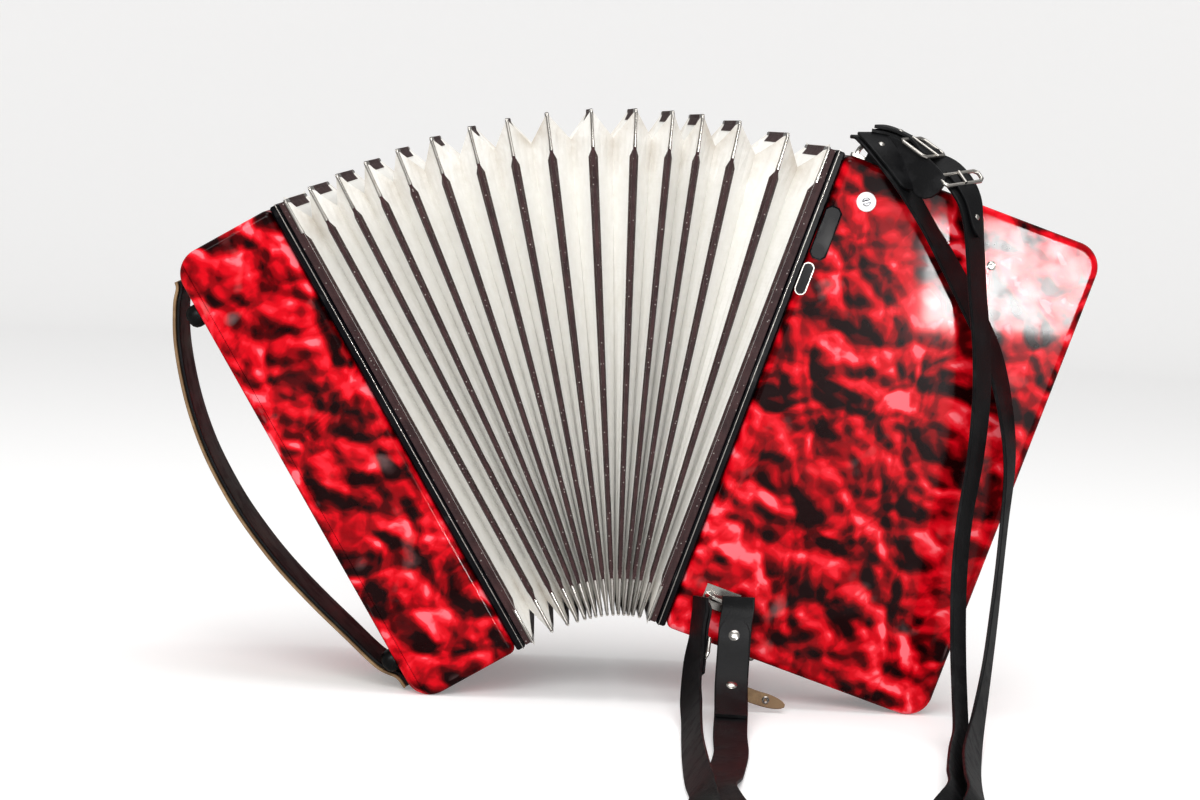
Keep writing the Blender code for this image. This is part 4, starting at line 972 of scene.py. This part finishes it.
STRAP_TWO_FROM_UPPER = (
    ((1.8, 0, 19.3), ALONG_Y), ((11.8, -1.5, 18.4), (0, 1, 0.1)), ((24, -6, 13.5), (0.1, 1, 0.1)),
    ((36, -13, 5.5), (0.3, 0.9, 0.3)), ((48, -23, -3), (0.5, 0.75, 0.5)),
    ((57, -36, -17), (0.6, 0.7, 0.4)), ((60.5, -44, -33), (0.6, 0.8, 0.2)),
    ((62.5, -48, -52), (0.6, 0.8, 0.1)), ((65, -50, -77), HALF_TURNED), ((69, -50, -107), HALF_TURNED),
    ((70.5, -51, -137), HALF_TURNED),
)
STRAP_TWO_FREE = (
    ((185.5, -38, 165), (0.55, 0.83, 0)), ((180, -46, 128), (0.5, 0.85, 0)),
    ((177, -58, 93), (0.5, 0.85, -0.1)), ((176, -78, 55), (0.5, 0.8, -0.3)),
    ((175, -105, 27), (0.5, 0.6, -0.6)), ((172, -140, 12), (0.5, 0.2, -0.85)),
    ((164, -190, 10), (0.55, 0, -0.85)), ((156, -245, 8), (0.55, 0, -0.83)),
    ((151, -288, 7), (0.6, -0.2, -0.7)), ((134, -314, 2), (0.7, -0.7, 0)),
    ((106, -322, 2), (0.2, -1, 0)), ((84, -323, 2), (0, -1, 0)), ((58, -320, 2), (-0.4, -0.9, 0)),
    ((36, -307, 2), (-0.8, -0.6, 0)),
)
STRAP_TWO_TO_LOWER = (
    ((-13, -274, -63), (-0.9, -0.1, -0.3)), ((-6.2, -215, -65.3), (-1, 0, 0)),
    ((0.5, -155, -65.3), (-1, 0, 0)), ((2.5, -110, -63), (-1, 0, 0)), ((5, -72, -56), (-1, 0, 0)),
    ((6, -48, -45), (-1, 0, 0)), ((7.5, -31, -27), (-1, 0.1, 0)), ((8.5, -23, -12), (-1, 0.2, 0)),
    ((9.9, -19, -3.3), (-1, 0.3, 0)), ((9.9, -18, 4.7), (-1, 0.3, 0)),
)

# %% A band along a route
STEPS = 8
BAND_SECTION = ((-0.5, -0.3), (-0.47, -0.5), (0.47, -0.5), (0.5, -0.3))
BAND_SECTION += tuple((-a, -b) for a, b in BAND_SECTION)
SIDE_COLUMNS = (0, 3, 4, 7)


def smooth_path(points, steps):
    """A curve that passes through the points, with even shares between them."""
    padded = [points[0] * 2 - points[1]] + points + [points[-1] * 2 - points[-2]]
    path = []
    for k in range(1, len(padded) - 2):
        a, b, c, d = padded[k - 1 : k + 3]
        bend, twist = a * 2 - b * 5 + c * 4 - d, b * 3 - a - c * 3 + d
        for s in range(steps):
            t = s / steps
            path.append((b * 2 + (c - a) * t + bend * t**2 + twist * t**3) / 2)
    return path + [points[-1].copy()]


def framed(middles, sides):
    """A route: each middle with its width vector and its outward vector."""
    route = []
    for k, (place, side) in enumerate(zip(middles, sides)):
        run = (middles[min(k + 1, len(middles) - 1)] - middles[max(k - 1, 0)]).normalized()
        side = (side - run * side.dot(run)).normalized()
        route.append((place, side, run.cross(side).normalized()))
    return route


def strap_route(from_upper, free, to_lower):
    """A strap's route, none of it lower than the ground allows."""
    stations = [(UPPER_FOOT + Vector(place) * MM, side) for place, side in from_upper]
    stations += [(SHIFT + Vector(place) * MM, side) for place, side in free]
    stations += [(LOWER_FOOT + Vector(place) * MM, side) for place, side in to_lower]
    middles = smooth_path([place for place, _ in stations], STEPS)
    sides = smooth_path([Vector(side).normalized() for _, side in stations], STEPS)
    route = framed(middles, sides)
    for place, side, _ in route:
        stand = STRAP_WIDTH / 2 * abs(side.z) + STRAP_THICKNESS / 2 * math.sqrt(1 - side.z**2) + STRAP_LIFT
        place.z = max(place.z, stand)
    return route


def banded(route, width, thickness, name, lift=0.0, point=0):
    """A closed band along a route, lifted outwards, with a rounded point over its last few steps."""
    rows = []
    for k, (place, side, out) in enumerate(route):
        left = len(route) - 1 - k
        share = math.sqrt(1 - (1 - (left + 0.15) / point) ** 2) if left < point - 0.15 else 1
        wide = width * share
        rows.append([place + side * (wide * a) + out * (lift + thickness * b) for a, b in BAND_SECTION])
    bm = sheet_through(bmesh.new(), rows, closed=True, marked=SIDE_COLUMNS)
    mark = bm.verts.layers.float["mark"]
    for face in bm.faces:
        face.material_index = int(all(corner[mark] > 0.5 for corner in face.verts))
    bmesh.ops.holes_fill(bm, edges=[edge for edge in bm.edges if edge.is_boundary])
    bmesh.ops.recalc_face_normals(bm, faces=bm.faces)
    return smooth(object_from(bm, name), 50)


def leather_band(route, width, thickness, name, *replaced, **shape):
    """A band of black leather with cut edges, on the treble side."""
    band = banded(route, width, thickness, name, **shape)
    dress(band, black_leather, "treble_side", "black_leather", *replaced)
    band.data.materials.append(cut_edge)
    return band


def route_length(route):
    return sum((b[0] - a[0]).length for a, b in zip(route, route[1:]))


# %% Shoulder straps
route_one = strap_route(STRAP_ONE_FROM_UPPER, STRAP_ONE_FREE, STRAP_ONE_TO_LOWER)
route_two = strap_route(STRAP_TWO_FROM_UPPER, STRAP_TWO_FREE, STRAP_TWO_TO_LOWER)
for number, route in ((1, route_one), (2, route_two)):
    replaced = f"shoulder_strap_{number}"
    leather_band(route, STRAP_WIDTH, STRAP_THICKNESS * 0.8, f"shoulder_band_{number}", replaced)
    print("strap", number, round(route_length(route), 3), "m")

# %% [markdown]
# ### Buckles, tabs and rivets
# Each strap's end goes through a ring and is doubled back, so its first stretch has a second layer
# outside, a buckle round both and a pointed tab. A place on a strap is a step along its route, with
# axes across the strap, along it and outwards from it.

# %% Buckles, tabs and rivets
TAB_LIFT, TAB_THICKNESS = 2.8 * MM, 2.0 * MM
BUCKLE_CUT, TONGUE_SHARES = 2.2 * MM, (-0.62, -0.2, 0.2, 0.5)


def on_strap(route, step, lift=0.0, slide=0.0):
    """A place on a strap: x across it, y along it, z outwards."""
    place, side, out = route[step]
    axes = Matrix((side, out.cross(side), out)).transposed().to_4x4()
    return Matrix.Translation(place + out * lift + side * slide) @ axes


def buckle(place, width, length, radius, name):
    """A frame of wire with cut corners, and a tongue that lies across it."""
    corners = cut_corners(width, length, BUCKLE_CUT)
    frame_wire = wire([place @ Vector((x, y, 0)) for x, y in corners], radius, name, closed=True)
    line = [place @ Vector((0, y * length, radius * 1.2)) for y in TONGUE_SHARES]
    return nickelled(joined([frame_wire, wire(line, radius * 0.8, "tongue")], name))


def rivet(route, step, radius, name):
    """A low dome on a doubled strap."""
    dome = [(0, -0.3), (radius, -0.3), (radius, 0.15), (radius * 0.8, 0.55), (radius * 0.45, 0.85), (0, 0.95)]
    return nickelled(lathe(dome, on_strap(route, step, TAB_LIFT + TAB_THICKNESS / 2), name, 24))


# Each layer: its stretch of a route, its width, its lift, the steps of its point, its name
LAYERS = (
    (route_two[1:27], 20, TAB_LIFT, 4, "upper_doubled_layer"),
    (route_two[33:53], 12.5, TAB_LIFT, 5, "upper_tab"),
    (route_one[6:30], 17, TAB_LIFT, 4, "inner_doubled_layer"),
    (route_two[-44:-14], 19, TAB_LIFT, 6, "lower_doubled_layer"),
    (route_one[-30:-2], 18, -TAB_LIFT, 5, "lower_inner_layer"),
)
for route, width, lift, point, name in LAYERS:
    leather_band(route, width * MM, TAB_THICKNESS, name, lift=lift, point=point)
buckle(on_strap(route_two, 22, 3.6 * MM, -5 * MM), 27 * MM, 19 * MM, 1.2 * MM, "upper_buckle")
buckle(on_strap(route_two, 36, 3.4 * MM), 27 * MM, 9 * MM, 1.3 * MM, "upper_keeper")
buckle(on_strap(route_one, -24, -2.6 * MM), 24 * MM, 14 * MM, 1.2 * MM, "lower_buckle")
rivet(route_two, 12, 2.0, "upper_rivet")
rivet(route_two, 47, 1.8, "tab_rivet")
rivet(route_one, 14, 2.0, "inner_rivet")
rivet(route_two, -21, 3.4, "lower_rivet_1")
rivet(route_two, -34, 3.4, "lower_rivet_2")

# %% [markdown]
# A guard of leather lies under the upper buckle, and a brown tip with an eyelet sticks out below.

# %% Guard and tip
GUARD = ((118, 10, 347.5), (130, 2, 343.5), (141, -7, 337.5), (150.5, -16, 328.5), (155, -21, 321))
TIP = ((50, -8, 13.5), (60.9, -8, 9.5), (70.8, -9, 7), (81, -10, 4.5))


def short_route(stations, side):
    places = smooth_path([SHIFT + Vector(place) * MM for place in stations], 6)
    return framed(places, [Vector(side)] * len(places))


leather_band(short_route(GUARD, (0.3, 0.1, 0.9)), 21 * MM, 2 * MM, "upper_guard", point=5)
tip_route = short_route(TIP, (0.1, 0.3, 0.9))
tip = banded(tip_route, 8.5 * MM, 2 * MM, "lower_tip", point=8)
dress(tip, brown_leather, "treble_side", "black_leather")
tip.data.materials.append(brown_leather)
eyelet = [(1.0, 0.8), (2.2, 0.8), (2.3, 1.5), (1.6, 1.9), (1.0, 1.5), (1.0, 0.8)]
facing = on_strap(tip_route, 11)
if facing.col[2].y > 0:
    facing = facing @ Matrix.Rotation(math.pi, 4, "X")
nickelled(lathe(eyelet, facing, "tip_eyelet", 24))
print("a guard and a tip")

# %% [markdown]
# ## Hand strap
# The player's left hand goes under a broad strap on the bass end: black leather inside and a
# tan-brown hide outside, whose edges show as two thin lines. A round black foot stands at each end.

# %% Hand strap
HAND_WIDTH, HAND_THICKNESS, HAND_BULGE, HAND_EDGE = 58 * MM, 5 * MM, 38 * MM, 14 * MM
HAND_ENDS = (12 * MM, 298 * MM)
HAND_SHAPE = (
    (0, 0), (0.03, 0.04), (0.07, 0.24), (0.16, 0.45), (0.26, 0.67), (0.36, 0.85), (0.46, 0.96),
    (0.55, 1), (0.66, 0.96), (0.77, 0.8), (0.88, 0.52), (0.955, 0.22), (0.985, 0.04), (1, 0),
)
HAND_LAYER, HAND_LIFT = 2.3 * MM, 1.25 * MM
HAND_LAYERS = (
    ("hand_strap_outside", brown_leather, brown_leather, HAND_LIFT),
    ("hand_strap_lining", black_leather, cut_edge, -HAND_LIFT),
)
hand_face = -BASS_WIDTH - GAP - HAND_THICKNESS / 2
hand_middle, hand_reach = HAND_EDGE + HAND_WIDTH / 2, HAND_ENDS[1] - HAND_ENDS[0]
stations = []
for up, out in HAND_SHAPE:
    stations.append(Vector((hand_face - HAND_BULGE * out, hand_middle, HAND_ENDS[0] + hand_reach * up)))
middles = [bass @ Vector((min(p.x, hand_face), p.y, p.z)) for p in smooth_path(stations, STEPS)]
hand_route = framed(middles, [Vector((0, 1, 0))] * len(middles))
for name, made, edge, lift in HAND_LAYERS:
    layer = banded(hand_route, HAND_WIDTH, HAND_LAYER, name, lift=lift)
    dress(layer, made, "bass_side", "black_leather", "hand_strap")
    layer.data.materials.append(edge)
print("hand strap", round(route_length(hand_route), 3), "m")

FOOT_PROFILE = [(0, 0), (6.6, 0), (7, 0.6), (7, 3.6), (6.4, 5.8), (4.6, 7.6), (2.2, 8.5), (0, 8.7)]
for z, name in ((274.3 * MM, "upper_foot"), (31.3 * MM, "lower_foot")):
    spot = Vector((-BASS_WIDTH, 10.5 * MM, z))
    place = bass @ Matrix.Translation(spot) @ Matrix.Rotation(-math.pi / 2, 4, "Y")
    dress(lathe(FOOT_PROFILE, place, name), rubber, "bass_side", "black_gloss")

# %% [markdown]
# ## Small parts on the back
# The treble panel has a white disc with a slotted screw, a small screw, and two bare plates beside
# the bellows frame: an octagonal black one and an oval one with a bright rim.

# %% Small parts on the back
SLOT_TURN = 0.6


def on_back(x, z):
    """A place on the treble's back panel, in millimetres, whose own z points out of it."""
    return treble @ Matrix.Translation((x * MM, 0, z * MM)) @ Matrix.Rotation(math.pi / 2, 4, "X")


def slotted(head, place, width, depth, height):
    """Cuts a slot across a screw's head, in millimetres."""
    low = (-BEYOND, -width / 2 * MM, (height - depth) * MM)
    slot = block(low, (BEYOND, width / 2 * MM, (height + depth) * MM))
    slot.data.transform(place @ Matrix.Rotation(SLOT_TURN, 4, "Z"))
    return smooth(crossed(head, slot))


place = on_back(28.2, 286.8)
washer = [(0, -0.3), (6, -0.3), (6, 0.7), (5.5, 1.2), (3.7, 1.3), (3.2, 0.7), (0, 0.7)]
dress(lathe(washer, place, "white_disc", 48), white_plastic, "treble_side", "ivory_plastic")
head = lathe([(0, 0.5), (2.7, 0.5), (2.7, 1.1), (2.0, 1.7), (0, 1.9)], place, "disc_screw")
dress(slotted(head, place, 0.9, 1.0, 1.9), steel, "treble_side", "chrome")
place = on_back(113.4, 277.5)
head = lathe([(0, -0.3), (2.75, -0.3), (2.75, 0.4), (1.9, 1.0), (0, 1.2)], place, "small_screw")
nickelled(slotted(head, place, 0.6, 0.7, 1.2))


def stadium(width, length):
    """An oblong with round ends, as an outline."""
    radius, reach = width / 2, (length - width) / 2
    return arc((0, reach), radius, 0, 180, 12) + arc((0, -reach), radius, 180, 360, 12)


def plate(outline, place, low, high, name, rim=0.0, sink=0.0):
    """A bare plate, in millimetres, with its face sunk inside a rim where one is asked for."""
    obj = raised([(x * MM, y * MM) for x, y in outline], "z", low * MM, high * MM, name)
    if rim:
        bm = bmesh.new()
        bm.from_mesh(obj.data)
        top = [face for face in bm.faces if face.calc_center_median().z > high * MM - 1e-6]
        bmesh.ops.inset_region(bm, faces=top, thickness=rim * MM, depth=-sink * MM)
        bm.to_mesh(obj.data)
        bm.free()
    rounded(obj, 0.15 * MM, 2).data.transform(place)
    return smooth(obj)


octagon = plate(cut_corners(10.5, 34, 2.8), on_back(11.8, 260.5), -0.3, 1.4, "octagonal_plate", 0.9, 0.7)
place = on_back(9.6, 230.0)
nickelled(plate(stadium(7.4, 21), place, -0.3, 0.8, "oval_rim"))
for obj in (octagon, plate(stadium(6.0, 19.6), place, 0.4, 1.1, "oval_plate")):
    dress(obj, black_lacquer, "treble_side", "black_gloss")

under = treble @ Matrix.Translation((62 * MM, 12 * MM, 0)) @ Matrix.Rotation(math.pi, 4, "X")
nickelled(lathe([(0, -0.3), (4, -0.3), (4, 1.5), (3, 2.6), (0, 3)], under, "under_stud", 24))

# Each bellows frame has a thin bright line let in all round it
LINE_FROM_BELLOWS, LINE_RADIUS, LINE_PROUD = 2.0 * MM, 0.35 * MM, 0.12 * MM
far_y, far_z = DEPTH + LINE_PROUD, HEIGHT + LINE_PROUD
corners = ((-LINE_PROUD, -LINE_PROUD), (far_y, -LINE_PROUD), (far_y, far_z), (-LINE_PROUD, far_z))
for half, x, name in ((treble, LINE_FROM_BELLOWS, "treble"), (bass, -LINE_FROM_BELLOWS, "bass")):
    line = [half @ Vector((x, y, z)) for y, z in corners]
    nickelled(wire(line, LINE_RADIUS, f"{name}_frame_line", closed=True), f"{name}_side")
print("disc, screws, plates, a stud and the frames' bright lines")

# %% [markdown]
# ## Bass buttons
# A button is a small round cap on a stem that goes through the end cover. Each takes its reach from
# the solid that it stands for.

# %% Bass buttons
STEM_RADIUS, CAP_EDGE, CAP_FOOT = 3.0, 1.2, 0.4
for name, (y, z) in buttons.items():
    reach = [bass.inverted() @ corner.co for corner in nodes[name].data.vertices]
    far_out, far_in = min(p.x for p in reach), max(p.x for p in reach)
    radius = max(math.hypot(p.y - y, p.z - z) for p in reach) / MM
    under_cap = max(p.x for p in reach if math.hypot(p.y - y, p.z - z) > (STEM_RADIUS + 0.6) * MM)
    top, shoulder = (far_in - far_out) / MM, (far_in - under_cap) / MM
    turned = [(0, 0), (STEM_RADIUS, 0), (STEM_RADIUS, shoulder), (radius - CAP_FOOT, shoulder)]
    turned += [(radius, shoulder + CAP_FOOT), (radius, top - CAP_EDGE)]
    turned += [(radius - 0.35 * CAP_EDGE, top - 0.35 * CAP_EDGE), (radius - CAP_EDGE, top), (0, top)]
    place = bass @ Matrix.Translation((far_in, y, z)) @ Matrix.Rotation(-math.pi / 2, 4, "Y")
    dress(lathe(turned, place, name + "_cap"), ivory, name + "_body", "ivory_plastic", name)
print(len(buttons), "buttons")

# %% [markdown]
# ## Floor, backdrop and light
# The instrument stands in the middle of a plain pale floor that sweeps up all round, like a wide
# shallow bowl, so no horizon shows from any side. The floor adds a little light of its own for the
# camera. In polished surfaces the floor and the room look darker, as a dim room behind the camera
# would, so blacks stay black.
#
# A broad lamp stands behind and above the camera, too high for the polished back panels to mirror
# it. A second one overhead makes the shadow on the floor, and a small one is just where the treble
# panel mirrors it towards the camera, which gives the bright patch at its upper corner.

# %% Floor and backdrop
SWEEP_FLAT, SWEEP_RADIUS, SWEEP_STEPS = 3200, 1100, 16
FLOOR_SEEN, FLOOR_MIRRORED = (0.86, 0.855, 0.85), (0.32, 0.32, 0.32)
profile = [(0, 0), (SWEEP_FLAT, 0)]
for k in range(1, SWEEP_STEPS + 1):
    turn = math.pi / 2 * k / SWEEP_STEPS
    profile.append((SWEEP_FLAT + SWEEP_RADIUS * math.sin(turn), SWEEP_RADIUS * (1 - math.cos(turn))))
sweep = lathe(profile, Matrix(), "floor_and_backdrop", 96)

PALE = {"Roughness": 0.9, "Specular_IOR_Level": 0.1, "Emission_Strength": 0.22}
pale, tree, shader, where = finish("pale_sheet", **PALE)
rays = tree.nodes.new("ShaderNodeLightPath").outputs
shade = mixed(tree, rays["Is Glossy Ray"], FLOOR_SEEN, FLOOR_MIRRORED)
looked = sums(tree, "MAXIMUM", rays["Is Camera Ray"], rays["Is Transmission Ray"])
feeds(tree, shader, Base_Color=shade, Emission_Color=looked)
sweep.data.materials.append(pale)

# %% World and lamps
ROOM_LIGHT, ROOM_MIRRORED = 0.62, 0.32
world = bpy.data.worlds.new("soft room")
bpy.context.scene.world = world
world.use_nodes = True
tree = world.node_tree
room = tree.nodes["Background"]
room.inputs["Color"].default_value = (0.97, 0.97, 0.97, 1)
rays = tree.nodes.new("ShaderNodeLightPath").outputs
looked = sums(tree, "MAXIMUM", rays["Is Camera Ray"], rays["Is Transmission Ray"])
strength = spread(tree, looked, 0, 1, ROOM_LIGHT, 1.0)
strength = plus(tree, strength, times(tree, rays["Is Glossy Ray"], ROOM_MIRRORED - ROOM_LIGHT))
feeds(tree, room.inputs, Strength=strength)


def lamp(name, place, aim, size, power):
    light = bpy.data.lights.new(name, "AREA")
    light.shape, light.size, light.size_y, light.energy = "RECTANGLE", *size, power
    obj = linked(name, light)
    obj.location = place
    obj.rotation_euler = (Vector(aim) - Vector(place)).to_track_quat("-Z", "Y").to_euler()
    return obj


lamp("front", (-0.3, -2.6, 1.8), (0, 0.1, 0.2), (2.2, 1.3), 66)
lamp("overhead", (0.1, -0.1, 2.0), (0, 0.1, 0), (1.5, 1.2), 16)
glint = lamp("panel_glint", (0.39, -1.0, 0.227), (0.2, 0.09, 0.27), (0.16, 0.105), 5)
glint.visible_diffuse = False
bpy.context.scene.view_settings.view_transform = "Standard"
print("three lamps")
